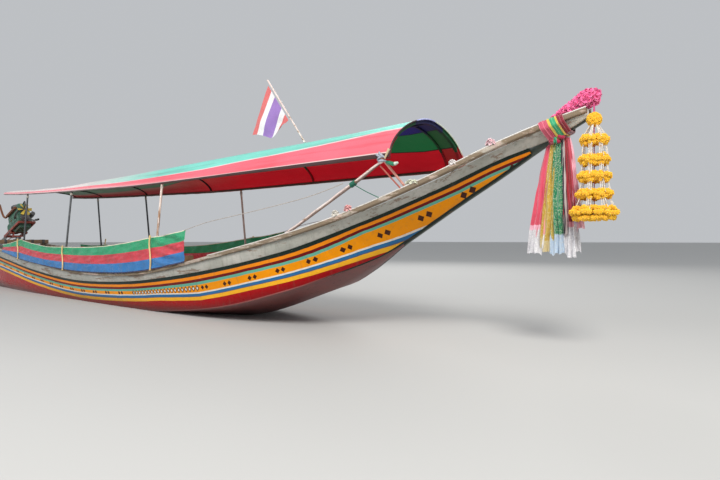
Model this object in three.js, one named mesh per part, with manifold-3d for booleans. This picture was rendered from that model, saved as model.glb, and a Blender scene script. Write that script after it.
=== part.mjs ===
// Longtail boat, afloat and empty. Millimetres, +X to the bow, +Y to port, +Z up.
// The origin is on the waterline plane, on the centre line, at half the hull's length.
import * as THREE from "three";
import { mergeVertices } from "three/addons/utils/BufferGeometryUtils.js";
import Module from "manifold-3d";

const wasm = await Module();
wasm.setup();

// Gap between pieces that touch, and overlap of shapes that make up one piece.
const GAP = 0.3;
const BITE = 1;
const STARBOARD = -1;
const PORT = 1;
const SIDES = { stbd: STARBOARD, port: PORT };

// Hull
const STERN_X = -7100;
const TIP_X = 6905;
const STATION_STEP = 350;
const BOW_STEP = 175;
const BOW_STEPS_FROM = 2000;
const PLANK = 22;
const BOTTOM_PLANK = 28;
const STRAKE_PROUD = 6;
const CAP_THICK = 45;
const CAP_HALF = 36;
const STEM_HALF = 18.7;
const STEM_PROUD = 12;
const STEM_HEIGHT = 90;
const STEM_AFT_X = 4880;
const SIDE_FORE_X = 6380;
const BOARD_AFT_X = 6420;

// Lines of the outside of the planking: half-breadths at rail and chine, heights of rail, chine and keel,
// and depth of the top strake's foot under the rail.
const LINES = [
  { x: -7100, railY: 640, railZ: 1000, chineY: 530, chineZ: 40, keelZ: -10, strake: 170 },
  { x: -5300, railY: 800, railZ: 860, chineY: 645, chineZ: -45, keelZ: -110, strake: 190 },
  { x: -3600, railY: 870, railZ: 690, chineY: 700, chineZ: -80, keelZ: -150, strake: 198 },
  { x: -1800, railY: 890, railZ: 560, chineY: 715, chineZ: -90, keelZ: -165, strake: 185 },
  { x: -200, railY: 890, railZ: 550, chineY: 715, chineZ: -60, keelZ: -150, strake: 140 },
  { x: 940, railY: 888, railZ: 635, chineY: 710, chineZ: 15, keelZ: -95, strake: 132 },
  { x: 2400, railY: 865, railZ: 880, chineY: 690, chineZ: 190, keelZ: 35, strake: 178 },
  { x: 3600, railY: 770, railZ: 1120, chineY: 560, chineZ: 480, keelZ: 385, strake: 182 },
  { x: 4150, railY: 700, railZ: 1255, chineY: 350, chineZ: 680, keelZ: 630, strake: 152 },
  { x: 4600, railY: 630, railZ: 1390, chineY: 130, chineZ: 872, keelZ: 860, strake: 130 },
  { x: 4900, railY: 578, railZ: 1490, chineY: 41, chineZ: 1042, keelZ: 1040, strake: 124 },
  { x: 5200, railY: 520, railZ: 1600, chineY: 41, chineZ: 1215, keelZ: 1215, strake: 120 },
  { x: 5600, railY: 435, railZ: 1755, chineY: 41, chineZ: 1448, keelZ: 1448, strake: 119 },
  { x: 6100, railY: 305, railZ: 1975, chineY: 41, chineZ: 1725, keelZ: 1725, strake: 125 },
  { x: 6500, railY: 185, railZ: 2130, chineY: 41, chineZ: 1960, keelZ: 1960, strake: 140 },
  { x: 6905, railY: 62, railZ: 2262, chineY: 41, chineZ: 2175, keelZ: 2175, strake: 140 },
];

// Inside of the hull
const FLOOR_TOP = 30;
const FLOOR_THICK = 25;
const FLOOR_OVER_CHINE = 40;
const FLOOR_AFT_X = -5640;
const FLOOR_FORE_X = 2800;
const TIMBER_HALF = 20;
const TIMBER_XS = [-5175, -4125, -3075, -2025, -975, 75, 1125];
const KEELSON_HALF = 45;
const RIB_HALF = 18;
const RIB_DEPTH = 40;
const RIB_XS = [-5175, -4125, -3075, -2025, -975, 75, 1125, 2175];
// The planking twists between stations, so pieces that lie along its inside stand off it.
const SIDE_GAP = 0.8;
const DECK_GAP = 1.8;
const STRINGER_DEPTH = 60;
const SEAT_XS = [-4300, -3250, -2200, -1150, -100];
const SEAT = {
  top: 390, thick: 25, length: 320, half: 690, leg: 30, legInset: 20,
  backInset: 60, backTop: 800, backThick: 22,
};
const FORE_DECK = { aft: 5300, fore: 6300, drop: 70, thick: 18 };
const AFT_DECK = { aft: -7055, fore: -5650, top: 600, thick: 25 };
const TRANSOM_THICK = 40;

// Canopy: height of its edge and rise of its crown above the edge.
const CANOPY_HALF = 750;
const CANOPY_SHELL = 6;
const CANOPY_POWER = 1.7;
const CANOPY_STEPS = 18;
const CANOPY_LINES = [
  { x: -5480, edge: 2110, rise: 115 },
  { x: -4600, edge: 2065, rise: 130 },
  { x: -2800, edge: 2010, rise: 175 },
  { x: -1200, edge: 1975, rise: 255 },
  { x: 200, edge: 1942, rise: 318 },
  { x: 1600, edge: 1938, rise: 362 },
  { x: 3600, edge: 1938, rise: 400 },
  { x: 5225, edge: 1935, rise: 455 },
];
const COVER_XS = [-5480, -4600, -3700, -2800, -2000, -1200, -500, 200, 900, 1600, 2600, 3600, 4400, 5225];
const EDGE_POLE_R = 18;
const EDGE_POLE_Y = CANOPY_HALF - CANOPY_SHELL - GAP - EDGE_POLE_R;
const EDGE_POLE_RISE = 12;
const EDGE_POLE_SIDES = 8;
const EDGE_POLE_FLAT = EDGE_POLE_R * Math.cos(Math.PI / EDGE_POLE_SIDES);
const ARCH = { aft: 5172, fore: 5212, deep: 34, footDrop: 45 };
const CANOPY_RIB_XS = [-5300, -4000, -2050, 150, 2700, 4990];
const CANOPY_RIB = { half: 12, deep: 24 };
const RIDGE_R = 14;
const POST_XS = [-4170, -2080, 1000];
const POST_R = 17;
const POST_SIDES = 12;
const POST_INSET = 34;
const BRACE = { footX: 3650, footRise: 16.2, headX: 5105, headInset: 4, r: 16 };
const STRUT = { footX: 5235, footInset: 20, footRise: 9.6, headX: 5125, past: 12, r: 13 };
const CURTAIN = { aft: -5290, fore: 1800, height: 430, thick: 10, inset: 2 };
// Bow dress. The pink garland's rows give its height over the rail.
const SASH = { wrapAft: 6490, wrapFore: 6720, wrapThick: 16, wrapGap: 0.5, half: 30 };
const SASH_HANG = [
  { x: 6350, low: 940, high: 1240 },
  { x: 6500, low: 925, high: 1960 },
  { x: 6660, low: 925, high: 1960 },
  { x: 6700, low: 935, high: 1700 },
  { x: 6745, low: 945, high: 1235 },
  { x: 6835, low: 985, high: 1225 },
];
const PINK_GARLAND = [
  { x: 6610, over: 46.4, r: 30 },
  { x: 6700, over: 58.4, r: 42 },
  { x: 6790, over: 72, r: 54 },
  { x: 6850, over: 86, r: 76 },
  { x: 6905, over: 98, r: 90 },
  { x: 6950, over: 102, r: 78 },
  { x: 6972, over: 104, r: 42 },
];
const GARLAND_SIDES = 14;
const MARIGOLDS = {
  x: TIP_X + 68.8,
  y: -62,
  coreR: 30,
  shoulderR: 0.85,
  shoulderZ: 0.8,
  tiers: [
    { z: 2146, r: 76, half: 68 }, { z: 1972, r: 131, half: 45 }, { z: 1798, r: 140, half: 49 },
    { z: 1646, r: 150, half: 46 }, { z: 1491, r: 164, half: 44 }, { z: 1325, r: 212, half: 63 },
  ],
};
const FLAG_POLE = { foot: [3470, -200], top: [2750, -200, 3240], footRise: 6.8, r: 11 };
// Flag: height of the hoist's two ends, and the outline of its hanging fly in the plane of x and z.
const FLAG = {
  half: 8, hoistTop: 3180, hoistLow: 2775,
  fly: [[2917, 2690], [2682, 2560], [2542, 2590], [2482, 2700], [2582, 2950]],
};

// Drive. The engine, its frame and the tail share one axis that slopes down aft.
const BEAM = { x: -6850, half: 75, height: 100, over: 15 };
const SOCKET = { r: 60, height: 66, plateX: 70, plateY: 90, plateThick: 12 };
const PIVOT_X = -6850;
const TILT_Z = 1262;
const TAIL_SLOPE = THREE.MathUtils.degToRad(20);
const YOKE = {
  baseR: 72, baseThick: 24, crossLow: 4, earY: 100, earThick: 24, earHalf: 38, bore: 18.7, gap: 0.4,
};
const PIN_R = 18;
const FRAME = {
  aft: -420, fore: 620, y: 150, width: 40, low: 20, high: 70, crossBar: 40, lugHalf: 44, lugLow: -34,
};
const CRANK_Z = 190;
const BLOCK = {
  aft: -190, fore: 520, half: 148, low: 70.5, high: 430, shelfHigh: 190, narrowing: 22,
  sumpAft: 120, sumpLow: -40, footHalf: 180, footThick: 16,
};
const HEAD = { inset: 20, narrowing: 30, high: 520, coverInset: 45, coverNarrowing: 55, coverHigh: 580 };
const EXHAUST = {
  off: 34, half: 26, end: 60, low: 22, high: 74, portStart: 110, portStep: 150, portHalf: 20,
  portLow: 28, r: 24,
};
// Exhaust pipe: place along the block from its aft end, and height over the block.
const PIPE = [[90, 48], [-60, 60], [-190, 160], [-290, 380], [-330, 520]];
const BELL = { length: 120, r: 165, aftR: 120, neckR: 78, neckAftR: 62 };
const TAIL = {
  fore: -420, aft: -4690, r: 38, bore: 15.2, boreDepth: 90, flangeR: 62, flangeThick: 30, finHalf: 5,
};
// Fin: place along the tail, and height over its axis.
const FIN = [[-4180, -30], [-4400, -235], [-4640, -255], [-4600, -30]];
const PROPELLER = {
  hubR: 36, hubAftR: 25, hubLength: 110, shaftR: 14.5, shaftLength: 80, gap: 6, bladeHalf: 4,
  pitch: THREE.MathUtils.degToRad(50),
};
// Blade: distance out from the hub's axis, and place along the chord.
const BLADE = [[20, -26], [90, -52], [150, -48], [185, -10], [181, 20], [140, 46], [80, 44], [20, 26]];
const TILLER = {
  r: 16, points: [[600, 0, 92], [760, 0, 70], [1000, 0, -60], [1300, 0, -150]],
  shoeAft: 590, shoeFore: 640, shoeHalf: 60, shoeHigh: 38,
};
const TANK = { aft: -6080, fore: -5780, y0: -420, y1: -160, high: 300, capR: 34, capHigh: 335 };
const BATTERY = { aft: -6060, fore: -5800, y0: 180, y1: 360, high: 200 };

// Finishes
function finish(color, roughness, metalness = 0) {
  return new THREE.MeshStandardMaterial({ color, roughness, metalness });
}
const FINISH = {
  greyPaint: finish(0xb5b3aa, 0.7),
  railPaint: finish(0xb89f88, 0.75),
  sidePaint: finish(0xc27a12, 0.5),
  bottomPaint: finish(0x4a1210, 0.6),
  wood: finish(0x8c6a48, 0.75),
  canopy: finish(0xb22a3a, 0.6),
  pole: finish(0xc9b3a2, 0.6),
  curtain: finish(0x2c7f66, 0.5),
  flag: finish(0xb8a8c0, 0.7),
  sash: finish(0xd34a72, 0.6),
  pinkFlower: finish(0xe0308a, 0.7),
  marigold: finish(0xf0b010, 0.8),
  castIron: finish(0x3d4a44, 0.6, 0.3),
  steel: finish(0x6b6f70, 0.5, 0.8),
  rust: finish(0x6a4632, 0.8, 0.4),
  brass: finish(0xb08a44, 0.35, 0.9),
  tank: finish(0x274a86, 0.5),
  battery: finish(0x1c1c1e, 0.6),
};

const boat = new THREE.Group();

function add(name, geometry, material, parent = boat) {
  const mesh = new THREE.Mesh(geometry, material);
  mesh.name = name;
  parent.add(mesh);
  return mesh;
}

// Value of one column at x, on a smooth curve through the rows of a table.
function smooth(table, key, x) {
  let i = 0;
  while (i < table.length - 2 && x > table[i + 1].x) i += 1;
  const a = table[i];
  const b = table[i + 1];
  const before = table[Math.max(i - 1, 0)];
  const after = table[Math.min(i + 2, table.length - 1)];
  const span = b.x - a.x;
  const slopeA = ((b[key] - before[key]) / (b.x - before.x)) * span;
  const slopeB = ((after[key] - a[key]) / (after.x - a.x)) * span;
  const t = (x - a.x) / span;
  const t2 = t * t;
  const t3 = t2 * t;
  return (
    (2 * t3 - 3 * t2 + 1) * a[key] + (t3 - 2 * t2 + t) * slopeA +
    (3 * t2 - 2 * t3) * b[key] + (t3 - t2) * slopeB
  );
}

// Straight stretches between stations, so that neighbours share the same faces.
const STATIONS = [];
for (let x = STERN_X; x < TIP_X - BOW_STEP / 2;) {
  STATIONS.push(x);
  x += x < BOW_STEPS_FROM ? STATION_STEP : BOW_STEP;
}
STATIONS.push(TIP_X);
const COLUMNS = Object.keys(LINES[0]).filter((key) => key !== "x");
const HULL = STATIONS.map((x) => {
  const s = { x };
  for (const key of COLUMNS) s[key] = smooth(LINES, key, x);
  s.chineY = Math.max(s.chineY, STEM_HALF + GAP + PLANK);
  s.chineZ = Math.max(s.chineZ, s.keelZ);
  return s;
});

function hullAt(x) {
  let i = 0;
  while (i < HULL.length - 2 && x > HULL[i + 1].x) i += 1;
  const a = HULL[i];
  const b = HULL[i + 1];
  const t = (x - a.x) / (b.x - a.x);
  const s = { x };
  for (const key of COLUMNS) s[key] = a[key] + (b[key] - a[key]) * t;
  return s;
}

// Stations from one place to another, with both ends.
function between(from, to) {
  return [from, ...STATIONS.filter((x) => x > from + 1 && x < to - 1), to];
}

// Half-breadth of the outside of the side at height z.
function outerY(s, z) {
  return s.chineY + ((s.railY - s.chineY) * (z - s.chineZ)) / (s.railZ - s.chineZ);
}

function innerY(s, z) {
  return outerY(s, z) - PLANK;
}

function strakeTop(s) {
  return s.railZ - CAP_THICK - GAP;
}

function strakeFoot(s) {
  return Math.max(s.railZ - s.strake, s.keelZ);
}

// Triangles that close a section's loop, each turning the same way as the loop.
function capOf(loop) {
  const flat = loop.map((p) => new THREE.Vector2(p[1], p[2]));
  return THREE.ShapeUtils.triangulateShape(flat, []).map(([a, b, c]) => (
    THREE.ShapeUtils.area([flat[a], flat[b], flat[c]]) > 0 ? [a, b, c] : [a, c, b]
  ));
}

function apart(p, q) {
  return Math.hypot(p[0] - q[0], p[1] - q[1], p[2] - q[2]);
}

// Closed body through sections from aft to fore. Each is a closed loop in a plane x = constant.
// Each face is split along its shorter diagonal, so that both faces of a plank twist alike.
function loft(sections) {
  const turns = THREE.ShapeUtils.area(sections[0].map((p) => new THREE.Vector2(p[1], p[2])));
  const loops = turns > 0 ? sections : sections.map((loop) => loop.slice().reverse());
  const n = loops[0].length;
  const last = (loops.length - 1) * n;
  const points = loops.flat();
  const index = [];
  for (let k = 0; k < loops.length - 1; k += 1) {
    for (let i = 0; i < n; i += 1) {
      const a = k * n + i;
      const b = k * n + ((i + 1) % n);
      if (apart(points[a], points[b + n]) <= apart(points[b], points[a + n])) {
        index.push(a, b, b + n, a, b + n, a + n);
      } else {
        index.push(a, b, a + n, b, b + n, a + n);
      }
    }
  }
  for (const [a, b, c] of capOf(loops[0])) index.push(a, c, b);
  for (const [a, b, c] of capOf(loops[loops.length - 1])) index.push(last + a, last + b, last + c);
  const geometry = new THREE.BufferGeometry();
  geometry.setAttribute("position", new THREE.Float32BufferAttribute(points.flat(), 3));
  geometry.setIndex(index);
  geometry.computeVertexNormals();
  return geometry;
}

function box(x0, x1, y0, y1, z0, z1) {
  const geometry = new THREE.BoxGeometry(x1 - x0, y1 - y0, z1 - z0);
  geometry.translate((x0 + x1) / 2, (y0 + y1) / 2, (z0 + z1) / 2);
  return geometry;
}

// Round bar from one point to another.
function rod(from, to, r, segments = 10, endR = r) {
  const a = new THREE.Vector3(...from);
  const b = new THREE.Vector3(...to);
  const geometry = new THREE.CylinderGeometry(endR, r, a.distanceTo(b), segments);
  geometry.applyQuaternion(
    new THREE.Quaternion().setFromUnitVectors(new THREE.Vector3(0, 1, 0), b.clone().sub(a).normalize()),
  );
  const middle = a.add(b).multiplyScalar(0.5);
  geometry.translate(middle.x, middle.y, middle.z);
  return geometry;
}

// Round bar along a curve through points.
function bentRod(points, r, steps, segments = 10) {
  const curve = new THREE.CatmullRomCurve3(points.map((p) => new THREE.Vector3(...p)));
  const ring = new THREE.Shape();
  ring.absarc(0, 0, r, 0, Math.PI * 2);
  return new THREE.ExtrudeGeometry(ring, {
    steps, extrudePath: curve, curveSegments: segments / 2, bevelEnabled: false,
  });
}

function solid(geometry) {
  const g = geometry.clone();
  g.deleteAttribute("normal");
  g.deleteAttribute("uv");
  const merged = mergeVertices(g, 1e-3);
  return new wasm.Manifold(
    new wasm.Mesh({
      numProp: 3,
      vertProperties: merged.attributes.position.array,
      triVerts: new Uint32Array(merged.index.array),
    }),
  );
}

function surface(body) {
  const mesh = body.getMesh();
  const geometry = new THREE.BufferGeometry();
  geometry.setAttribute("position", new THREE.BufferAttribute(mesh.vertProperties, 3));
  geometry.setIndex(new THREE.BufferAttribute(mesh.triVerts, 1));
  geometry.computeVertexNormals();
  return geometry;
}

function join(...geometries) {
  return surface(geometries.map(solid).reduce((a, b) => a.add(b)));
}

function cut(geometry, ...tools) {
  return surface(tools.map(solid).reduce((a, b) => a.subtract(b), solid(geometry)));
}

function rect(x, y0, y1, z0, z1) {
  return [[x, y0, z0], [x, y1, z0], [x, y1, z1], [x, y0, z1]];
}

// Hull planking
function bottomPlanking() {
  return loft(between(STERN_X, STEM_AFT_X).map((x) => {
    const s = hullAt(x);
    const y = s.chineY - PLANK - GAP;
    return [
      [x, -y, s.chineZ], [x, 0, s.keelZ], [x, y, s.chineZ],
      [x, y, s.chineZ + BOTTOM_PLANK], [x, 0, s.keelZ + BOTTOM_PLANK], [x, -y, s.chineZ + BOTTOM_PLANK],
    ];
  }));
}

function sidePlanking(side) {
  return loft(between(STERN_X, SIDE_FORE_X).map((x) => {
    const s = hullAt(x);
    const top = strakeFoot(s) - GAP;
    return [
      [x, side * s.chineY, s.chineZ], [x, side * outerY(s, top), top],
      [x, side * innerY(s, top), top], [x, side * (s.chineY - PLANK), s.chineZ],
    ];
  }));
}

function topStrake(side) {
  return loft(between(STERN_X, TIP_X).map((x) => {
    const s = hullAt(x);
    const low = strakeFoot(s);
    const top = strakeTop(s);
    return [
      [x, side * (outerY(s, low) + STRAKE_PROUD), low], [x, side * (outerY(s, top) + STRAKE_PROUD), top],
      [x, side * innerY(s, top), top], [x, side * innerY(s, low), low],
    ];
  }));
}

function railCap(side) {
  return loft(between(STERN_X, TIP_X).map((x) => {
    const s = hullAt(x);
    const middle = s.railY - PLANK / 2;
    const inner = Math.max(middle - CAP_HALF, STEM_HALF + GAP);
    return rect(x, side * inner, side * (middle + CAP_HALF), s.railZ - CAP_THICK, s.railZ);
  }));
}

function stem() {
  return loft(between(STEM_AFT_X + GAP, TIP_X).map((x) => {
    const s = hullAt(x);
    const top = Math.min(s.keelZ + STEM_HEIGHT, strakeTop(s) - CAP_THICK - GAP);
    return rect(x, -STEM_HALF, STEM_HALF, s.keelZ - STEM_PROUD, top);
  }));
}

function bowBoard() {
  return loft(between(BOARD_AFT_X, TIP_X).map((x) => {
    const s = hullAt(x);
    const low = Math.min(s.keelZ + STEM_HEIGHT, strakeTop(s) - CAP_THICK - GAP) + GAP;
    return rect(x, -STEM_HALF, STEM_HALF, low, s.railZ);
  }));
}

function transom() {
  return loft([STERN_X, STERN_X + TRANSOM_THICK].map((x) => {
    const s = hullAt(x);
    const low = s.chineZ + BOTTOM_PLANK + GAP;
    const top = strakeTop(s);
    const lowY = Math.min(innerY(s, low), s.chineY - PLANK) - GAP;
    const topY = innerY(s, top) - GAP;
    return [
      [x, -lowY, low], [x, 0, s.keelZ + BOTTOM_PLANK + GAP], [x, lowY, low], [x, topY, top], [x, -topY, top],
    ];
  }));
}

// Decks, floor and seats
function foreDeck() {
  return loft(between(FORE_DECK.aft, FORE_DECK.fore).map((x) => {
    const s = hullAt(x);
    const z = s.railZ - FORE_DECK.drop;
    const y = innerY(s, z - FORE_DECK.thick) - DECK_GAP;
    return rect(x, -y, y, z - FORE_DECK.thick, z);
  }));
}

function aftDeck() {
  return loft(between(AFT_DECK.aft, AFT_DECK.fore).map((x) => {
    const s = hullAt(x);
    const z = AFT_DECK.top;
    const y = innerY(s, z - AFT_DECK.thick) - GAP;
    return rect(x, -y, y, z - AFT_DECK.thick, z);
  }));
}

function floorTop(s) {
  return Math.max(FLOOR_TOP, s.chineZ + FLOOR_OVER_CHINE + FLOOR_THICK);
}

function floorBoards() {
  return loft(between(FLOOR_AFT_X, FLOOR_FORE_X).map((x) => {
    const s = hullAt(x);
    const z = floorTop(s);
    const y = innerY(s, z - FLOOR_THICK) - SIDE_GAP;
    return rect(x, -y, y, z - FLOOR_THICK, z);
  }));
}

function floorTimbers() {
  const low = BOTTOM_PLANK + GAP;
  const top = (s) => floorTop(s) - FLOOR_THICK - GAP;
  const keelson = loft(between(FLOOR_AFT_X, FLOOR_FORE_X).map((x) => {
    const s = hullAt(x);
    const rise = (s.chineZ - s.keelZ) / (s.chineY - PLANK - GAP);
    return [
      [x, -KEELSON_HALF, s.keelZ + low + KEELSON_HALF * rise], [x, 0, s.keelZ + low],
      [x, KEELSON_HALF, s.keelZ + low + KEELSON_HALF * rise],
      [x, KEELSON_HALF, top(s)], [x, -KEELSON_HALF, top(s)],
    ];
  }));
  const timbers = TIMBER_XS.map((middle) => loft([middle - TIMBER_HALF, middle + TIMBER_HALF].map((x) => {
    const s = hullAt(x);
    const y = s.chineY - PLANK - 2 * GAP;
    return [
      [x, -y, s.chineZ + low], [x, 0, s.keelZ + low], [x, y, s.chineZ + low],
      [x, y, top(s)], [x, -y, top(s)],
    ];
  })));
  return join(keelson, ...timbers);
}

// Ribs up one side, held together by a stringer under the rail.
function sideRibs(side) {
  const from = RIB_XS[0] - RIB_HALF;
  const to = RIB_XS[RIB_XS.length - 1] + RIB_HALF;
  const stringer = loft(between(from, to).map((x) => {
    const s = hullAt(x);
    const top = s.railZ - CAP_THICK - GAP;
    const low = top - STRINGER_DEPTH;
    return [
      [x, side * (innerY(s, low) - SIDE_GAP), low], [x, side * (innerY(s, top) - SIDE_GAP), top],
      [x, side * (innerY(s, top) - RIB_DEPTH / 2), top], [x, side * (innerY(s, low) - RIB_DEPTH / 2), low],
    ];
  }));
  const ribs = RIB_XS.map((middle) => loft([middle - RIB_HALF, middle + RIB_HALF].map((x) => {
    const s = hullAt(x);
    const top = s.railZ - CAP_THICK - GAP - STRINGER_DEPTH / 2;
    const low = Math.max(floorTop(s), s.chineZ + BOTTOM_PLANK) + GAP;
    return [
      [x, side * (innerY(s, low) - SIDE_GAP), low], [x, side * (innerY(s, top) - SIDE_GAP), top],
      [x, side * (innerY(s, top) - RIB_DEPTH), top], [x, side * (innerY(s, low) - RIB_DEPTH), low],
    ];
  })));
  return join(stringer, ...ribs);
}

function seat(x) {
  const under = SEAT.top - SEAT.thick;
  const aft = x - SEAT.length / 2;
  const fore = x + SEAT.length / 2;
  const y = SEAT.half;
  const floor = FLOOR_TOP + GAP;
  const backY = y - SEAT.backInset;
  const legAft = aft + SEAT.legInset;
  const legFore = fore - SEAT.legInset;
  return join(
    box(aft, fore, -y, y, under, SEAT.top),
    box(legAft, legFore, -backY, -backY + SEAT.leg, floor, under + BITE),
    box(legAft, legFore, backY - SEAT.leg, backY, floor, under + BITE),
    box(aft, aft + SEAT.backThick, -backY, backY, SEAT.top - BITE, SEAT.backTop),
  );
}

// Canopy
function canopyAt(x) {
  return { x, edge: smooth(CANOPY_LINES, "edge", x), rise: smooth(CANOPY_LINES, "rise", x) };
}

// Straight stretches of the cover between its own stations.
const COVER = COVER_XS.map(canopyAt);
function coverAt(x) {
  let i = 0;
  while (i < COVER.length - 2 && x > COVER[i + 1].x) i += 1;
  const a = COVER[i];
  const b = COVER[i + 1];
  const t = (x - a.x) / (b.x - a.x);
  return { x, edge: a.edge + (b.edge - a.edge) * t, rise: a.rise + (b.rise - a.rise) * t };
}

// Arc across the canopy, inset from the cover's outside, from edge to edge.
function arc(c, inset) {
  const points = [];
  for (let i = 0; i <= CANOPY_STEPS; i += 1) {
    const angle = (Math.PI * i) / CANOPY_STEPS;
    const across = Math.cos(angle);
    const y = -Math.sign(across) * Math.abs(across) ** (2 / CANOPY_POWER) * (CANOPY_HALF - inset);
    const z = c.edge + Math.sin(angle) ** (2 / CANOPY_POWER) * (c.rise - inset);
    points.push([c.x, 2 * i === CANOPY_STEPS ? 0 : y, z]);
  }
  return points;
}

// The same arc with both feet cut off level, a little above the edge.
function footedArc(c, inset, height) {
  const points = arc(c, inset);
  const foot = (end, next) => {
    const t = (c.edge + height - end[2]) / (next[2] - end[2]);
    return [c.x, end[1] + (next[1] - end[1]) * t, c.edge + height];
  };
  const last = points.length - 1;
  const aftFoot = foot(points[0], points[1]);
  const foreFoot = foot(points[last], points[last - 1]);
  return [aftFoot, ...points.slice(1, last), foreFoot];
}

function band(c, outer, inner, height = 0) {
  return [...footedArc(c, outer, height), ...footedArc(c, inner, height).reverse()];
}

function canopyCover() {
  return loft(COVER.map((c) => band(c, 0, CANOPY_SHELL)));
}

function edgePole(side) {
  const xs = [CANOPY_LINES[0].x + 10, ...COVER_XS.slice(1, -1), ARCH.aft - GAP];
  return loft(xs.map((x) => {
    const c = coverAt(x);
    const ring = [];
    for (let i = 0; i < EDGE_POLE_SIDES; i += 1) {
      const a = ((i + 0.5) / EDGE_POLE_SIDES) * Math.PI * 2;
      const y = side * EDGE_POLE_Y + EDGE_POLE_R * Math.cos(a);
      ring.push([x, y, c.edge - EDGE_POLE_RISE + EDGE_POLE_R * Math.sin(a)]);
    }
    return ring;
  }));
}

function canopyRib(middle) {
  const inset = CANOPY_SHELL + GAP;
  return loft([middle - CANOPY_RIB.half, middle + CANOPY_RIB.half].map((x) => {
    const c = coverAt(x);
    return band(c, inset + 1, inset + CANOPY_RIB.deep, EDGE_POLE_R - EDGE_POLE_RISE + GAP);
  }));
}

function canopyRibs() {
  const inset = CANOPY_SHELL + GAP;
  const from = CANOPY_RIB_XS[0] - CANOPY_RIB.half;
  const ridge = loft([from, ...COVER_XS.filter((x) => x > from && x < ARCH.aft), ARCH.aft - GAP].map((x) => {
    const c = coverAt(x);
    const top = c.edge + c.rise - inset - 1;
    return rect(x, -RIDGE_R, RIDGE_R, top - 2 * RIDGE_R, top);
  }));
  return join(ridge, ...CANOPY_RIB_XS.map(canopyRib));
}

function frontArch() {
  const inset = CANOPY_SHELL + GAP;
  const band3 = loft([ARCH.aft, ARCH.fore].map((x) => band(coverAt(x), inset + 0.5, inset + ARCH.deep)));
  const feet = [STARBOARD, PORT].map((side) => {
    const edge = coverAt(ARCH.aft).edge;
    const outer = side * (CANOPY_HALF - inset - 3);
    const inner = side * (CANOPY_HALF - inset - ARCH.deep);
    return box(
      ARCH.aft, ARCH.fore, Math.min(outer, inner), Math.max(outer, inner), edge - ARCH.footDrop, edge + 4,
    );
  });
  return join(band3, ...feet);
}

function railSeat(x) {
  const s = hullAt(x);
  return { y: s.railY - POST_INSET, z: s.railZ };
}

// Height of the edge pole's underside.
function poleUnderside(x) {
  return coverAt(x).edge - EDGE_POLE_RISE - EDGE_POLE_FLAT;
}

// A post leans in from a rail that climbs, so each end's rim stands off its middle by a little.
function post(x, side) {
  const foot = railSeat(x);
  const head = poleUnderside(x);
  const lean = Math.atan2(foot.y - EDGE_POLE_Y, head - foot.z);
  const r = POST_R * Math.cos(Math.PI / POST_SIDES);
  const climb = (hullAt(x + r).railZ - hullAt(x - r).railZ) / 2;
  const droop = (poleUnderside(x + r) - poleUnderside(x - r)) / 2;
  const low = foot.z + Math.hypot(r * Math.sin(lean), climb) + GAP;
  const high = head - Math.hypot(r * Math.sin(lean), droop) - GAP;
  return rod([x, side * foot.y, low], [x, side * EDGE_POLE_Y, high], POST_R, POST_SIDES);
}

function brace(side) {
  const foot = railSeat(BRACE.footX);
  const from = foot.z + BRACE.footRise;
  const slope = Math.atan2(poleUnderside(BRACE.headX) - from, BRACE.headX - BRACE.footX);
  const to = poleUnderside(BRACE.headX) - BRACE.r * Math.cos(slope) - GAP;
  const headY = EDGE_POLE_Y - BRACE.headInset;
  return rod([BRACE.footX, side * foot.y, from], [BRACE.headX, side * headY, to], BRACE.r, 16);
}

// A strut leans out from the rail and passes the edge pole on its outside.
function strut(side) {
  const s = hullAt(STRUT.footX);
  const footY = s.railY - STRUT.footInset;
  const footZ = s.railZ + STRUT.footRise;
  const riseToPole = coverAt(STRUT.headX).edge - EDGE_POLE_RISE - footZ;
  const reach = Math.hypot(EDGE_POLE_Y - footY, riseToPole);
  const clear = EDGE_POLE_FLAT + STRUT.r + 2 * GAP;
  const lean = Math.atan2(EDGE_POLE_Y - footY, riseToPole) + Math.asin(clear / reach);
  const length = Math.sqrt(reach ** 2 - clear ** 2) + STRUT.past;
  const head = [STRUT.headX, side * (footY + length * Math.sin(lean)), footZ + length * Math.cos(lean)];
  return rod([STRUT.footX, side * footY, footZ], head, STRUT.r, 12);
}

function curtain(side) {
  return loft(between(CURTAIN.aft, CURTAIN.fore).map((x) => {
    const s = hullAt(x);
    const outer = s.railY + CAP_HALF - PLANK / 2 - CURTAIN.inset;
    const inner = outer - CURTAIN.thick;
    return rect(x, side * inner, side * outer, s.railZ + GAP, s.railZ + CURTAIN.height);
  }));
}

// Flag on its pole
function crownZ(x, y) {
  const c = coverAt(x);
  const share = 1 - (Math.abs(y) / CANOPY_HALF) ** CANOPY_POWER;
  return c.edge + c.rise * share ** (1 / CANOPY_POWER);
}

function flagPole() {
  const [x, y] = FLAG_POLE.foot;
  return rod([x, y, crownZ(x, y) + FLAG_POLE.footRise], FLAG_POLE.top, FLAG_POLE.r, 12);
}

function outline(points) {
  return new THREE.Shape(points.map(([a, b]) => new THREE.Vector2(a, b)));
}

function flag() {
  const [footX, footY] = FLAG_POLE.foot;
  const [topX, , topZ] = FLAG_POLE.top;
  const lean = Math.atan2(footX - topX, topZ - crownZ(footX, footY));
  const hoist = (z) => [topX + (topZ - z) * Math.tan(lean) - (FLAG_POLE.r + GAP) / Math.cos(lean), z];
  const shape = outline([hoist(FLAG.hoistTop), hoist(FLAG.hoistLow), ...FLAG.fly]);
  const geometry = new THREE.ExtrudeGeometry(shape, { depth: 2 * FLAG.half, bevelEnabled: false });
  geometry.rotateX(Math.PI / 2);
  geometry.translate(0, footY + FLAG.half, 0);
  return geometry;
}

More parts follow.
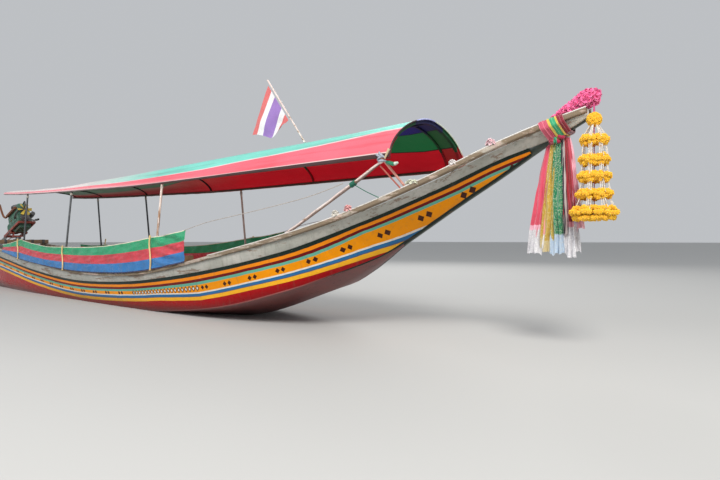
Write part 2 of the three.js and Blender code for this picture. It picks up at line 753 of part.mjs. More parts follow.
// Bow dress
function bowOutline(x, out) {
  const s = hullAt(x);
  const top = s.railZ + out;
  const capY = s.railY - PLANK / 2 + CAP_HALF + out;
  const capZ = s.railZ - CAP_THICK - out;
  const lowY = outerY(s, s.keelZ) + STRAKE_PROUD + out;
  const lowZ = s.keelZ - STEM_PROUD - out;
  return [
    [x, -lowY, lowZ], [x, lowY, lowZ], [x, capY, capZ],
    [x, capY, top], [x, -capY, top], [x, -capY, capZ],
  ];
}

function sashes() {
  const { wrapAft, wrapFore, wrapThick, wrapGap, half } = SASH;
  const wrap = cut(
    loft(between(wrapAft, wrapFore).map((x) => bowOutline(x, wrapThick))),
    loft(between(wrapAft - PLANK, wrapFore + PLANK).map((x) => bowOutline(x, wrapGap))),
  );
  const wrapFoot = hullAt(wrapAft).keelZ - STEM_PROUD - wrapThick / 2;
  const hang = loft(SASH_HANG.map(({ x, low, high }) => (
    rect(x, -half, half, low, Math.min(high, wrapFoot))
  )));
  return join(wrap, hang);
}

function pinkGarland() {
  return loft(PINK_GARLAND.map(({ x, over, r }) => {
    const ring = [];
    for (let i = 0; i < GARLAND_SIDES; i += 1) {
      const a = (i / GARLAND_SIDES) * Math.PI * 2;
      ring.push([x, r * Math.sin(a), hullAt(x).railZ + over - r * Math.cos(a)]);
    }
    return ring;
  }));
}

function marigoldGarland() {
  const { x, y, coreR, shoulderR, shoulderZ, tiers } = MARIGOLDS;
  const lowest = tiers[tiers.length - 1];
  const profile = [new THREE.Vector2(0, lowest.z - lowest.half)];
  for (const t of tiers.slice().reverse()) {
    profile.push(
      new THREE.Vector2(coreR, t.z - t.half), new THREE.Vector2(t.r * shoulderR, t.z - t.half * shoulderZ),
      new THREE.Vector2(t.r, t.z), new THREE.Vector2(t.r * shoulderR, t.z + t.half * shoulderZ),
      new THREE.Vector2(coreR, t.z + t.half),
    );
  }
  profile.push(new THREE.Vector2(0, tiers[0].z + tiers[0].half));
  const geometry = new THREE.LatheGeometry(profile, GARLAND_SIDES);
  geometry.rotateX(Math.PI / 2);
  geometry.translate(x, y, 0);
  return geometry;
}

// Engine mounting on the hull
function beamTop() {
  return Math.max(hullAt(BEAM.x - BEAM.half).railZ, hullAt(BEAM.x + BEAM.half).railZ) + GAP + BEAM.height;
}

function engineBeam() {
  const y = hullAt(BEAM.x).railY + BEAM.over;
  return box(BEAM.x - BEAM.half, BEAM.x + BEAM.half, -y, y, beamTop() - BEAM.height, beamTop());
}

function upright(x, y, z0, z1, r, segments = 20) {
  return rod([x, y, z0], [x, y, z1], r, segments);
}

function pivotSocket() {
  const z = beamTop() + GAP;
  const { r, height, plateX, plateY, plateThick } = SOCKET;
  return join(
    box(PIVOT_X - plateX, PIVOT_X + plateX, -plateY, plateY, z, z + plateThick),
    upright(PIVOT_X, 0, z + plateThick - BITE, z + height, r),
  );
}

function swivelYoke() {
  const z = beamTop() + GAP + SOCKET.height + YOKE.gap;
  const { baseR, baseThick, crossLow, earY, earThick, earHalf, bore } = YOKE;
  const y = earY + earThick;
  const ears = [STARBOARD, PORT].map((side) => box(
    PIVOT_X - earHalf, PIVOT_X + earHalf, Math.min(side * earY, side * y), Math.max(side * earY, side * y),
    z + crossLow, TILT_Z + earHalf,
  ));
  const body = join(
    upright(PIVOT_X, 0, z, z + baseThick, baseR),
    box(PIVOT_X - earHalf, PIVOT_X + earHalf, -y, y, z + crossLow, z + baseThick),
    ...ears,
  );
  return cut(body, rod([PIVOT_X, -y - BITE, TILT_Z], [PIVOT_X, y + BITE, TILT_Z], bore, 28));
}

// Engine and tail, in their own frame: origin on the tilt pin, x forward along the crank, z up.
const drive = new THREE.Group();
drive.position.set(PIVOT_X, 0, TILT_Z);
drive.rotation.y = -TAIL_SLOPE;
boat.add(drive);

function engineFrame() {
  const { aft, fore, y, width, low, high, crossBar, lugHalf, lugLow } = FRAME;
  const rails = [STARBOARD, PORT].flatMap((side) => {
    const y0 = Math.min(side * y, side * (y + width));
    return [
      box(aft, fore, y0, y0 + width, low, high),
      box(-lugHalf, lugHalf, y0, y0 + width, lugLow, low + BITE),
    ];
  });
  return join(
    ...rails,
    rod([0, -(y + width), 0], [0, y + width, 0], PIN_R, 24),
    box(aft, aft + crossBar, -y - BITE, y + BITE, low, high),
    box(fore - crossBar, fore, -y - BITE, y + BITE, low, high),
  );
}

function engineBlock() {
  const { aft, fore, half, low, high, shelfHigh, narrowing, sumpAft, sumpLow, footHalf, footThick } = BLOCK;
  return join(
    box(aft, fore, -half, half, low, shelfHigh),
    box(aft + narrowing, fore - narrowing, narrowing - half, half - narrowing, shelfHigh - BITE, high),
    box(sumpAft, fore - 2 * narrowing, narrowing - half, half - narrowing, sumpLow, low + BITE),
    box(aft, fore, -footHalf, footHalf, low, low + footThick),
  );
}

function cylinderHead() {
  const { aft, fore, half, high } = BLOCK;
  const { inset, narrowing, coverInset, coverNarrowing } = HEAD;
  return join(
    box(aft + inset, fore - inset, narrowing - half, half - narrowing, high + GAP, HEAD.high),
    box(
      aft + coverInset, fore - coverInset, coverNarrowing - half, half - coverNarrowing,
      HEAD.high - BITE, HEAD.coverHigh,
    ),
  );
}

function exhaust() {
  const { aft, fore, high } = BLOCK;
  const headSide = HEAD.narrowing - BLOCK.half;
  const y = headSide - EXHAUST.off;
  const manifold = box(
    aft + EXHAUST.end, fore - EXHAUST.end, y - EXHAUST.half, y + EXHAUST.half,
    high + EXHAUST.low, high + EXHAUST.high,
  );
  const ports = [0, 1, 2, 3].map((i) => {
    const x = aft + EXHAUST.portStart + i * EXHAUST.portStep;
    return box(
      x - EXHAUST.portHalf, x + EXHAUST.portHalf, y + EXHAUST.half - BITE, headSide - GAP,
      high + EXHAUST.portLow, high + EXHAUST.portLow + 2 * EXHAUST.portHalf,
    );
  });
  const pipe = bentRod(PIPE.map(([x, over]) => [aft + x, y, high + over]), EXHAUST.r, 14, 12);
  return join(manifold, ...ports, pipe);
}

function bellHousing() {
  const { length, r, aftR, neckR, neckAftR } = BELL;
  const aft = BLOCK.aft - length;
  return join(
    rod([BLOCK.aft - GAP, 0, CRANK_Z], [aft, 0, CRANK_Z], r, 24, aftR),
    rod([aft + BITE, 0, CRANK_Z], [TAIL.fore + GAP, 0, CRANK_Z], neckR, 20, neckAftR),
  );
}

function tailTube() {
  const { fore, aft, r, bore, boreDepth, flangeR, flangeThick, finHalf } = TAIL;
  const fin = new THREE.ExtrudeGeometry(
    outline(FIN.map(([x, below]) => [x, CRANK_Z + below])), { depth: 2 * finHalf, bevelEnabled: false },
  );
  fin.rotateX(Math.PI / 2);
  fin.translate(0, finHalf, 0);
  return cut(
    join(
      rod([fore, 0, CRANK_Z], [aft, 0, CRANK_Z], r, 16),
      rod([fore, 0, CRANK_Z], [fore - flangeThick, 0, CRANK_Z], flangeR, 20),
      fin,
    ),
    rod([aft - BITE, 0, CRANK_Z], [aft + boreDepth, 0, CRANK_Z], bore, 20),
  );
}

function propeller() {
  const { hubR, hubAftR, hubLength, shaftR, shaftLength, gap, bladeHalf, pitch } = PROPELLER;
  const fore = TAIL.aft - gap;
  const aft = fore - hubLength;
  const blades = [0, 1, 2].map((i) => {
    const blade = new THREE.ExtrudeGeometry(outline(BLADE), { depth: 2 * bladeHalf, bevelEnabled: false });
    blade.translate(0, 0, -bladeHalf);
    blade.rotateX(pitch);
    blade.rotateY(-Math.PI / 2);
    blade.rotateX((i * 2 * Math.PI) / 3);
    blade.translate((fore + aft) / 2, 0, CRANK_Z);
    return blade;
  });
  return join(
    rod([fore, 0, CRANK_Z], [aft, 0, CRANK_Z], hubR, 20, hubAftR),
    rod([fore + shaftLength, 0, CRANK_Z], [fore - BITE, 0, CRANK_Z], shaftR, 18),
    ...blades,
  );
}

function tiller() {
  const { r, points, shoeAft, shoeFore, shoeHalf, shoeHigh } = TILLER;
  return join(
    bentRod(points, r, 14, 12),
    box(shoeAft, shoeFore, -shoeHalf, shoeHalf, FRAME.high + GAP, FRAME.high + shoeHigh),
  );
}

function fuelTank() {
  const { aft, fore, y0, y1, high, capR, capHigh } = TANK;
  const z = AFT_DECK.top + GAP;
  return join(
    box(aft, fore, y0, y1, z, z + high),
    upright((aft + fore) / 2, (y0 + y1) / 2, z + high - BITE, z + capHigh, capR, 14),
  );
}

function battery() {
  const z = AFT_DECK.top + GAP;
  return box(BATTERY.aft, BATTERY.fore, BATTERY.y0, BATTERY.y1, z, z + BATTERY.high);
}

// The assembly
add("bottom_planking", bottomPlanking(), FINISH.bottomPaint);
for (const [name, side] of Object.entries(SIDES)) {
  add("side_planking_" + name, sidePlanking(side), FINISH.sidePaint);
  add("top_strake_" + name, topStrake(side), FINISH.greyPaint);
  add("rail_cap_" + name, railCap(side), FINISH.railPaint);
  add("side_ribs_" + name, sideRibs(side), FINISH.wood);
}
add("stem", stem(), FINISH.bottomPaint);
add("bow_board", bowBoard(), FINISH.greyPaint);
add("transom", transom(), FINISH.greyPaint);
add("fore_deck", foreDeck(), FINISH.wood);
add("aft_deck", aftDeck(), FINISH.wood);
add("floor_boards", floorBoards(), FINISH.wood);
add("floor_timbers", floorTimbers(), FINISH.wood);
SEAT_XS.forEach((x, i) => add("seat_" + (i + 1), seat(x), FINISH.wood));

add("canopy_cover", canopyCover(), FINISH.canopy);
add("canopy_ribs", canopyRibs(), FINISH.pole);
add("front_arch", frontArch(), FINISH.pole);
for (const [name, side] of Object.entries(SIDES)) {
  add("edge_pole_" + name, edgePole(side), FINISH.pole);
  POST_XS.forEach((x, i) => add("post_" + name + "_" + (i + 1), post(x, side), FINISH.pole));
  add("brace_" + name, brace(side), FINISH.pole);
  add("strut_" + name, strut(side), FINISH.pole);
  add("curtain_" + name, curtain(side), FINISH.curtain);
}
add("flag_pole", flagPole(), FINISH.pole);
add("flag", flag(), FINISH.flag);
add("sashes", sashes(), FINISH.sash);
add("pink_garland", pinkGarland(), FINISH.pinkFlower);
add("marigold_garland", marigoldGarland(), FINISH.marigold);

add("engine_beam", engineBeam(), FINISH.wood);
add("pivot_socket", pivotSocket(), FINISH.steel);
add("swivel_yoke", swivelYoke(), FINISH.steel);
add("engine_frame", engineFrame(), FINISH.steel, drive);
add("engine_block", engineBlock(), FINISH.castIron, drive);
add("cylinder_head", cylinderHead(), FINISH.castIron, drive);
add("exhaust", exhaust(), FINISH.rust, drive);
add("bell_housing", bellHousing(), FINISH.castIron, drive);
add("tail_tube", tailTube(), FINISH.steel, drive);
add("propeller", propeller(), FINISH.brass, drive);
add("tiller", tiller(), FINISH.steel, drive);
add("fuel_tank", fuelTank(), FINISH.tank);
add("battery", battery(), FINISH.battery);

export default boat;
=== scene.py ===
"""Looks of a wooden longtail boat, afloat and empty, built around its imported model.

Metres, +X to the bow, +Y to port, +Z up, with the origin on the waterline plane.
"""

from __future__ import annotations

import logging
import random
from dataclasses import dataclass, field
from enum import Enum
from math import asin, copysign, cos, dist, hypot, pi, radians, sin, sqrt
from typing import Callable, Iterable, Sequence

import bpy
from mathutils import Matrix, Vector, noise

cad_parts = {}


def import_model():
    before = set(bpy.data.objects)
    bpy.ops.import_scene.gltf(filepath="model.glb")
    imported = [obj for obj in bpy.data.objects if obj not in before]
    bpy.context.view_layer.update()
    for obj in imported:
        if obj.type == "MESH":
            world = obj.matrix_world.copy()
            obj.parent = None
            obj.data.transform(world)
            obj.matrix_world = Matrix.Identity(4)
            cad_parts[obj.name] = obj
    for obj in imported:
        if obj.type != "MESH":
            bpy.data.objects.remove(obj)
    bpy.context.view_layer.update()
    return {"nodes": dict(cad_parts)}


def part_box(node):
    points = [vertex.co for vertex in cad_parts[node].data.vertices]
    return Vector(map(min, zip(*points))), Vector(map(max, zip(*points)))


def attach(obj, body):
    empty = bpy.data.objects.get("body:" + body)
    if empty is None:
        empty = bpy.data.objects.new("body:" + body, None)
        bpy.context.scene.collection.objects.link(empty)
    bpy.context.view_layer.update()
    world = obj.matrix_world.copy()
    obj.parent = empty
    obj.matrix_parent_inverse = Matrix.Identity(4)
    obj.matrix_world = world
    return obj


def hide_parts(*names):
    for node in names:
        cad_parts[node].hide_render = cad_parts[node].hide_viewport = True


LOG = logging.getLogger("longtail_boat")

Colour = tuple[float, float, float]
Point = tuple[float, float, float]
Rows = Sequence[tuple[float, float]]
Line = Sequence[Sequence[float]]
Piece = bpy.types.Object
Material = bpy.types.Material

SIDES = {"stbd": -1, "port": 1}
AHEAD, ASTERN, UP = (1, 0, 0), (-1, 0, 0), (0, 0, 1)


# --- Shader maths -----------------------------------------------------------------------------


class Field:
    """A shader socket that takes part in Python expressions."""

    def __init__(self, paint: Paint, socket: bpy.types.NodeSocket) -> None:
        """Wraps one output socket of a paint's node tree."""
        self.paint = paint
        self.socket = socket

    def math(self, operation: str, *others: Field | float) -> Field:
        """Adds a Math node with this field as its first value."""
        values = {0: self, **{i + 1: v for i, v in enumerate(others)}}
        return self.paint.node("ShaderNodeMath", {"operation": operation}, values)

    def __add__(self, other: Field | float) -> Field:
        """Sum."""
        return self.math("ADD", other)

    __radd__ = __add__

    def __sub__(self, other: Field | float) -> Field:
        """Difference."""
        return self.math("SUBTRACT", other)

    def __rsub__(self, other: float) -> Field:
        """Difference from a number."""
        return (self * -1.0) + other

    def __mul__(self, other: Field | float) -> Field:
        """Product."""
        return self.math("MULTIPLY", other)

    __rmul__ = __mul__

    def __truediv__(self, other: Field | float) -> Field:
        """Quotient."""
        return self.math("DIVIDE", other)

    def abs(self) -> Field:
        """Size without sign."""
        return self.math("ABSOLUTE")

    def fract(self) -> Field:
        """Part after the point."""
        return self.math("FRACT")

    def floor(self) -> Field:
        """Whole part."""
        return self.math("FLOOR")

    def sin(self) -> Field:
        """Sine, in radians."""
        return self.math("SINE")

    def top(self, other: Field | float) -> Field:
        """Larger of the two."""
        return self.math("MAXIMUM", other)

    def least(self, other: Field | float) -> Field:
        """Smaller of the two."""
        return self.math("MINIMUM", other)

    def over(self, edge: float, soft: float = 0.0) -> Field:
        """1 where the field is over an edge, with a soft step of that width."""
        return self.ramp(edge - soft / 2, edge + soft / 2 + 1e-5)

    def ramp(self, low: float, high: float) -> Field:
        """0 at low and 1 at high, clamped outside."""
        return self.paint.node(
            "ShaderNodeMapRange", {"clamp": True}, {0: self, 1: low, 2: high, 3: 0.0, 4: 1.0}
        )

    def between(self, low: float, high: float, soft: float = 0.0) -> Field:
        """1 inside a stretch."""
        return self.over(low, soft) - self.over(high, soft)


class Paint:
    """A material in the making, with one method for every node it adds."""

    def __init__(self, name: str) -> None:
        """Starts a material with a Principled shader."""
        self.material = bpy.data.materials.new(name)
        self.material.use_nodes = True
        self.tree = self.material.node_tree
        self.shader = self.tree.nodes["Principled BSDF"]
        self._place: Field | None = None

    def node(self, kind: str, settings: dict | None = None, values: dict | None = None,
             out: int | str = 0) -> Field:
        """Adds a node.

        Args:
            kind: Blender's type of the node.
            settings: Properties that are set before its sockets.
            values: Numbers, colours or fields for its inputs, by index or name.
            out: The output that is returned.

        Returns:
            The output as a field.
        """
        made = self.tree.nodes.new(kind)
        for key, value in (settings or {}).items():
            setattr(made, key, value)
        for key, value in (values or {}).items():
            self.feed(made.inputs[key], value)
        return Field(self, made.outputs[out])

    def feed(self, socket: bpy.types.NodeSocket, value: Field | float | Sequence[float]) -> None:
        """Links a field to a socket, or sets its number or colour.

        Args:
            socket: The input.
            value: A field to link, or a number or colour to set.
        """
        if isinstance(value, Field):
            self.tree.links.new(value.socket, socket)
        elif isinstance(value, (int, float)):
            if socket.type in ("RGBA", "VECTOR"):
                size = len(socket.default_value)
                socket.default_value = (value, value, value, 1.0)[:size]
            else:
                socket.default_value = value
        else:
            socket.default_value = (*value, 1.0) if socket.type == "RGBA" and len(value) == 3 else value

    def place(self) -> Field:
        """Object coordinates."""
        if self._place is None:
            self._place = self.node("ShaderNodeTexCoord", out="Object")
        return self._place

    def axis(self, letter: str) -> Field:
        """One object coordinate, in metres."""
        return self.node("ShaderNodeSeparateXYZ", None, {0: self.place()}, letter)

    def attribute(self, name: str) -> Field:
        """A number kept on the piece's own vertices."""
        return self.node("ShaderNodeAttribute", {"attribute_name": name}, None, "Fac")

    def stretched(self, scale: Sequence[float]) -> Field:
        """Object coordinates scaled along each axis."""
        values = {0: self.place(), 1: tuple(scale)}
        return self.node("ShaderNodeVectorMath", {"operation": "MULTIPLY"}, values)

    def noise(self, scale: float, stretch: Sequence[float] = (1, 1, 1), detail: float = 4.0,
              rough: float = 0.55) -> Field:
        """Cloudy noise from 0 to 1 around one half."""
        values = {"Vector": self.stretched(stretch), "Scale": scale, "Detail": detail, "Roughness": rough}
        return self.node("ShaderNodeTexNoise", None, values)

    def cells(self, scale: float) -> Field:
        """Distance to the nearest of many scattered points."""
        values = {"Vector": self.stretched((1, 1, 1)), "Scale": scale}
        return self.node("ShaderNodeTexVoronoi", None, values, "Distance")

    def mix(self, share: Field | float, first: Field | Colour, second: Field | Colour,
            how: str = "MIX") -> Field:
        """Colour between two, or the second laid over the first."""
        settings = {"data_type": "RGBA", "blend_type": how}
        return self.node("ShaderNodeMix", settings, {0: share, 6: first, 7: second}, 2)

    def bands(self, share: Field, bands: Sequence[tuple[float, Colour]], base: Colour,
              soft: float = 0.0) -> Field:
        """Colours one after the other.

        Args:
            share: The field that the bands follow.
            bands: Where each band starts, and its colour.
            base: Colour before the first band.
            soft: Width of the step between two bands.

        Returns:
            The colour.
        """
        colour: Field | Colour = base
        for start, paint in bands:
            colour = self.mix(share.over(start, soft), colour, paint)
        return colour

    def weave(self, threads: float) -> Field:
        """Height of a plain weave with so many threads a metre."""
        turn = 2 * pi * threads
        x, y, z = (self.axis(letter) for letter in "XYZ")
        return ((x * turn).sin() + ((y + z) * turn).sin()) * 0.25 + 0.5

    def round_share(self) -> Field:
        """Share of the way up round the canopy, 0 at both eaves and 0.5 at the crown."""
        return 0.5 - (self.attribute("arc") - 0.5).abs()

    def done(self, colour: Field | Colour, rough: Field | float, height: Field | None = None,
             depth: float = 0.001, metal: Field | float = 0.0, **constants: float) -> Material:
        """Links what varies and sets what doesn't.

        Args:
            colour: Base colour.
            rough: Roughness.
            height: Relief from 0 to 1.
            depth: What 1 of the relief stands for, in metres.
            metal: Metallic share.
            **constants: Numbers for other sockets, with _ for a space.

        Returns:
            The finished material.
        """
        self.feed(self.shader.inputs["Base Color"], colour)
        self.feed(self.shader.inputs["Roughness"], rough)
        self.feed(self.shader.inputs["Metallic"], metal)
        for key, value in constants.items():
            self.feed(self.shader.inputs[key.replace("_", " ")], value)
        if height is not None:
            relief = {"Strength": 1.0, "Distance": depth, "Height": height}
            self.feed(self.shader.inputs["Normal"], self.node("ShaderNodeBump", None, relief))
        return self.material


# --- Finishes ---------------------------------------------------------------------------------


class Grain(Enum):
    """Direction of a plank's grain, as the stretch of its pattern."""

    ALONG = (0.12, 1.0, 1.0)
    ACROSS = (1.0, 0.12, 1.0)
    UPRIGHT = (1.0, 1.0, 0.12)


@dataclass(frozen=True)
class Finish:
    """A named finish, which makes a new material each time."""

    name: str

    def make(self) -> Material:
        """A new material with this finish."""
        return self.lay(Paint(self.name))

    def lay(self, p: Paint) -> Material:
        """Lays the colours and the relief. Each kind of finish has its own way."""
        raise NotImplementedError


@dataclass(frozen=True)
class WeatheredPaint(Finish):
    """Brushed paint on planks, with worn spots, runs of dirt and the grain showing through."""

    fresh: Colour
    faded: Colour
    bare: Colour = (0.34, 0.27, 0.2)
    wear: float = 0.35
    rough: float = 0.5
    grime: Colour = (0.1, 0.09, 0.06)
    grime_share: float = 0.35
    grain: Grain = Grain.ALONG
    coat: float = 0.0

    def lay(self, p: Paint) -> Material:
        """Lays the finish on a new material."""
        cloud = p.noise(2.2, detail=6.0)
        grain = p.noise(60.0, self.grain.value, 5.0, 0.6)
        runs = p.noise(26.0, (1.0, 1.0, 0.09), 3.0)
        specks = p.cells(90.0)
        chips = (p.noise(11.0, self.grain.value, 8.0, 0.7) + grain * 0.25).over(0.86 - self.wear * 0.3, 0.05)
        colour = p.mix(cloud.ramp(0.32, 0.68), self.fresh, self.faded)
        colour = p.mix(grain.ramp(0.3, 0.8) * 0.28, colour, self.bare)
        colour = p.mix(runs.ramp(0.5, 0.8) * self.grime_share, colour, self.grime)
        colour = p.mix((1 - specks.ramp(0.05, 0.12)) * 0.5 * cloud.over(0.5, 0.1), colour, self.grime)
        colour = p.mix(chips, colour, self.bare)
        rough = (cloud * 0.25 + chips * 0.3 + self.rough - 0.1).least(0.95)
        return p.done(colour, rough, grain * 0.5 + (1 - chips) * 0.5, 0.0012, Coat_Weight=self.coat)


@dataclass(frozen=True)
class Stripes(Finish):
    """Painted stripes of a hull's side, laid by how far each point is under the top strake.

    The side's mesh has the attributes upper, lower, middle, pairs and above.
    """

    foot_line: Colour = (0.008, 0.02, 0.016)
    orange: Colour = (0.82, 0.24, 0.005)
    dark_red: Colour = (0.14, 0.004, 0.006)
    teal: Colour = (0.12, 0.4, 0.3)
    amber: Colour = (0.82, 0.28, 0.0)
    brown: Colour = (0.05, 0.012, 0.006)
    white: Colour = (0.72, 0.7, 0.64)
    blue: Colour = (0.02, 0.14, 0.34)
    yellow: Colour = (0.85, 0.42, 0.02)
    red: Colour = (0.36, 0.003, 0.006)
    # Painted highlight: pinkish line of light along the chine aft.
    chine_highlight: Colour = (0.5, 0.16, 0.15)
    upper_edges: tuple[float, ...] = (0.0, 0.045, 0.085, 0.12, 0.155)
    lower_edges: tuple[float, ...] = (0.25, 0.268, 0.31, 0.36)
    chine_width: float = 0.013
    pair_pitch: float = 0.45
    lozenge_half: tuple[float, float] = (0.036, 0.033)
    pair_gap: float = 0.044
    chain_half: tuple[float, float] = (0.042, 0.044)
    chain_core: float = 0.55
    chain_pitch: float = 0.088
    chain_stretch: tuple[float, float] = (0.3, 2.03)

    def lozenges(self, pairs: Field, middle: Field) -> Field:
        """Mask of the lozenges that stand in pairs in the wide stripe."""
        width, height = self.lozenge_half
        from_pair = ((pairs + 0.5).fract() - 0.5).abs() * self.pair_pitch
        return 1 - ((from_pair - self.pair_gap).abs() / width + middle.abs() / height).over(1.0, 0.12)

    def chain(self, p: Paint, middle: Field, size: float) -> Field:
        """Mask of the close lozenges that stand in a row amidships."""
        width, height = self.chain_half
        aside = ((p.axis("X") / self.chain_pitch).fract() - 0.5).abs() * self.chain_pitch
        return 1 - (aside / (width * size) + middle.abs() / (height * size)).over(1.0, 0.1)

    def lay(self, p: Paint) -> Material:
        """Lays the finish on a new material."""
        wobble = (p.noise(3.0, (1, 1, 1), 3.0) - 0.5) * 0.01 + (p.noise(40.0, (0.3, 1, 1)) - 0.5) * 0.003
        edges = ("upper", "lower", "middle", "above")
        upper, lower, middle, above = (p.attribute(key) + wobble for key in edges)
        chain = p.axis("X").between(*self.chain_stretch)
        tops = (self.foot_line, self.orange, self.dark_red, self.teal, self.amber)
        feet = (self.white, self.blue, self.yellow, self.red)
        colour = p.bands(upper, list(zip(self.upper_edges, tops)), self.foot_line, 0.002)
        colour = p.mix(self.lozenges(p.attribute("pairs"), middle) * (1 - chain), colour, self.brown)
        for size, paint in ((1.0, self.brown), (self.chain_core, self.white)):
            colour = p.mix(self.chain(p, middle, size) * chain, colour, paint)
        for start, paint in zip(self.lower_edges, feet):
            colour = p.mix(lower.over(start, 0.002), colour, paint)
        # Painted highlight along the chine aft, fading forward into the dark foot colour.
        line = p.mix(p.axis("X").ramp(3.6, 4.3), self.chine_highlight, self.foot_line)
        colour = p.mix(1 - above.over(self.chine_width, 0.002), colour, line)
        cloud = p.noise(1.6, detail=6.0)
        grain = p.noise(55.0, Grain.ALONG.value, 5.0, 0.6)
        runs = p.noise(22.0, (1.0, 1.0, 0.07), 4.0)
        scuffs = (p.noise(9.0, (0.35, 1, 1), 8.0, 0.72) + grain * 0.2).over(0.79, 0.04)
        colour = p.mix(cloud.ramp(0.35, 0.75) * 0.3, colour, (0.5, 0.42, 0.34), "MULTIPLY")
        colour = p.mix(runs.ramp(0.55, 0.8) * 0.3, colour, (0.13, 0.1, 0.07))
        colour = p.mix(scuffs * 0.55, colour, (0.42, 0.38, 0.32))
        # Painted shadow: thin dark line in a plank seam low on the side.
        colour = p.mix(lower.between(0.30, 0.313, 0.004) * 0.5, colour, (0.1, 0.05, 0.03))
        wet = 1 - (p.axis("Z") + (cloud - 0.5) * 0.16).ramp(0.02, 0.2)
        colour = p.mix(wet * 0.65, colour, (0.03, 0.022, 0.014))
        rough = (cloud * 0.25 + scuffs * 0.35 + 0.22 - lower.over(0.36, 0.01) * 0.08 - wet * 0.1).top(0.12)
        return p.done(colour, rough, grain * 0.35 + (1 - scuffs) * 0.4, 0.0011, Specular_IOR_Level=0.14)


@dataclass(frozen=True)
class BoatWood(Finish):
    """Oiled or bare timber made of boards, with gaps and trodden dirt."""

    light: Colour
    dark: Colour
    grain: Grain = Grain.ALONG
    board: float = 0.14
    across: str = "Y"
    rough: float = 0.65

    def lay(self, p: Paint) -> Material:
        """Lays the finish on a new material."""
        strip = p.axis(self.across) / self.board
        gap = 1 - ((strip.fract() - 0.5).abs()).over(0.485, 0.012)
        tone = (strip.floor() * 12.9898).sin() * 0.5 + 0.5
        grain = p.noise(70.0, self.grain.value, 6.0, 0.65)
        rings = p.noise(9.0, self.grain.value, 3.0)
        dirt = p.noise(3.0, detail=6.0)
        colour = p.mix((grain * 0.6 + rings * 0.5 + tone * 0.25).ramp(0.35, 0.95), self.dark, self.light)
        colour = p.mix(dirt.ramp(0.5, 0.75) * 0.5, colour, (0.12, 0.09, 0.06))
        colour = p.mix((1 - gap) * 0.85, colour, (0.02, 0.014, 0.01))
        return p.done(colour, grain * 0.3 + self.rough - 0.15, grain * 0.3 + gap * 0.7, 0.0016)


@dataclass(frozen=True)
class CanopyCloth(Finish):
    """Painted canvas in lengthwise bands. The cover's mesh has the attribute arc, from 0 to 1."""

    inside: bool
    hem: Colour = (0.78, 0.62, 0.6)
    pink: Colour = (0.82, 0.15, 0.2)
    pale: Colour = (0.84, 0.68, 0.68)
    turquoise: Colour = (0.2, 0.66, 0.56)
    red: Colour = (0.6, 0.008, 0.02)
    green: Colour = (0.01, 0.16, 0.05)
    navy: Colour = (0.015, 0.015, 0.16)
    # Station where the painted shade over the lining's front panel starts.
    front_shade_from: float = 4.99
    # Painted light: strength of the glow the lining gives off in its own colour, though it is no lamp.
    painted_glow: float = 0.3
    red_widening: float = 0.11

    def outside_colour(self, p: Paint, near: Field, x: Field) -> Field:
        """Bands over the outside, faded aft, with a painted shadow line along both eaves."""
        share = near / (x.ramp(2.0, 5.0) * 0.12 + x.ramp(-0.5, 2.0) * 0.03 + 0.118)
        bands = [(0.15, self.hem), (0.19, self.pink), (0.93, self.pale), (0.99, self.turquoise)]
        # Painted shadow: the dark colour before the hem band stands for the shade between the cover's edge
        # and the edge pole.
        colour = p.bands(share, bands, (0.06, 0.03, 0.03), 0.02)
        streaks = p.noise(14.0, (0.04, 1.0, 1.0), 5.0, 0.65)
        colour = p.mix((streaks.ramp(0.5, 0.7)) * 0.5, colour, (0.75, 0.28, 0.32), "MULTIPLY")
        faded = (1 - x.ramp(-2.0, 0.8)) * (share.over(0.9, 0.1) * 0.7 + 0.18)
        faded = faded + (1 - x.ramp(-0.5, 2.4)) * share.between(0.13, 0.42, 0.2) * 0.25
        return p.mix(faded, colour, self.pale)

    def inside_colour(self, p: Paint, near: Field, x: Field) -> Field:
        """Bands under the cover, with dark seams, dull and grey aft, and painted shade over the front panel.
        """
        narrowed = near - x.between(-0.3, 3.9, 1.7) * self.red_widening
        colour = p.bands(narrowed, [(0.215, self.green), (0.37, self.navy)], self.red, 0.002)
        seam = narrowed.between(0.21, 0.217) + narrowed.between(0.366, 0.372)
        colour = p.mix(seam, colour, (0.01, 0.01, 0.012))
        grey = p.mix(near.over(0.16, 0.08), (0.16, 0.05, 0.05), (0.1, 0.13, 0.1))
        colour = p.mix((1 - x.ramp(-1.6, 1.2)) * 0.75, colour, grey)
        # Painted shade: the lining forward of that station is darkened halfway towards near black.
        return p.mix(x.over(self.front_shade_from, 0.01) * 0.5, colour, (0.035, 0.03, 0.02))

    def lay(self, p: Paint) -> Material:
        """Lays the finish on a new material."""
        x = p.axis("X")
        stains = p.noise(1.7, (0.6, 1, 1), 7.0, 0.6)
        crease = p.noise(9.0, (0.5, 1, 1), 5.0, 0.6)
        bands = self.inside_colour if self.inside else self.outside_colour
        colour = bands(p, p.round_share(), x)
        colour = p.mix(stains.ramp(0.45, 0.75) * 0.35, colour, (0.55, 0.5, 0.46), "MULTIPLY")
        height = p.weave(260.0) * 0.12 + crease * 0.88
        # Painted light: the lining glows with its own colour to stand for light under the cover.
        painted_glow = {"Emission_Color": colour, "Emission_Strength": self.painted_glow} if self.inside else {}
        return p.done(colour, stains * 0.3 + 0.4, height, 0.006, Specular_IOR_Level=0.25, **painted_glow)


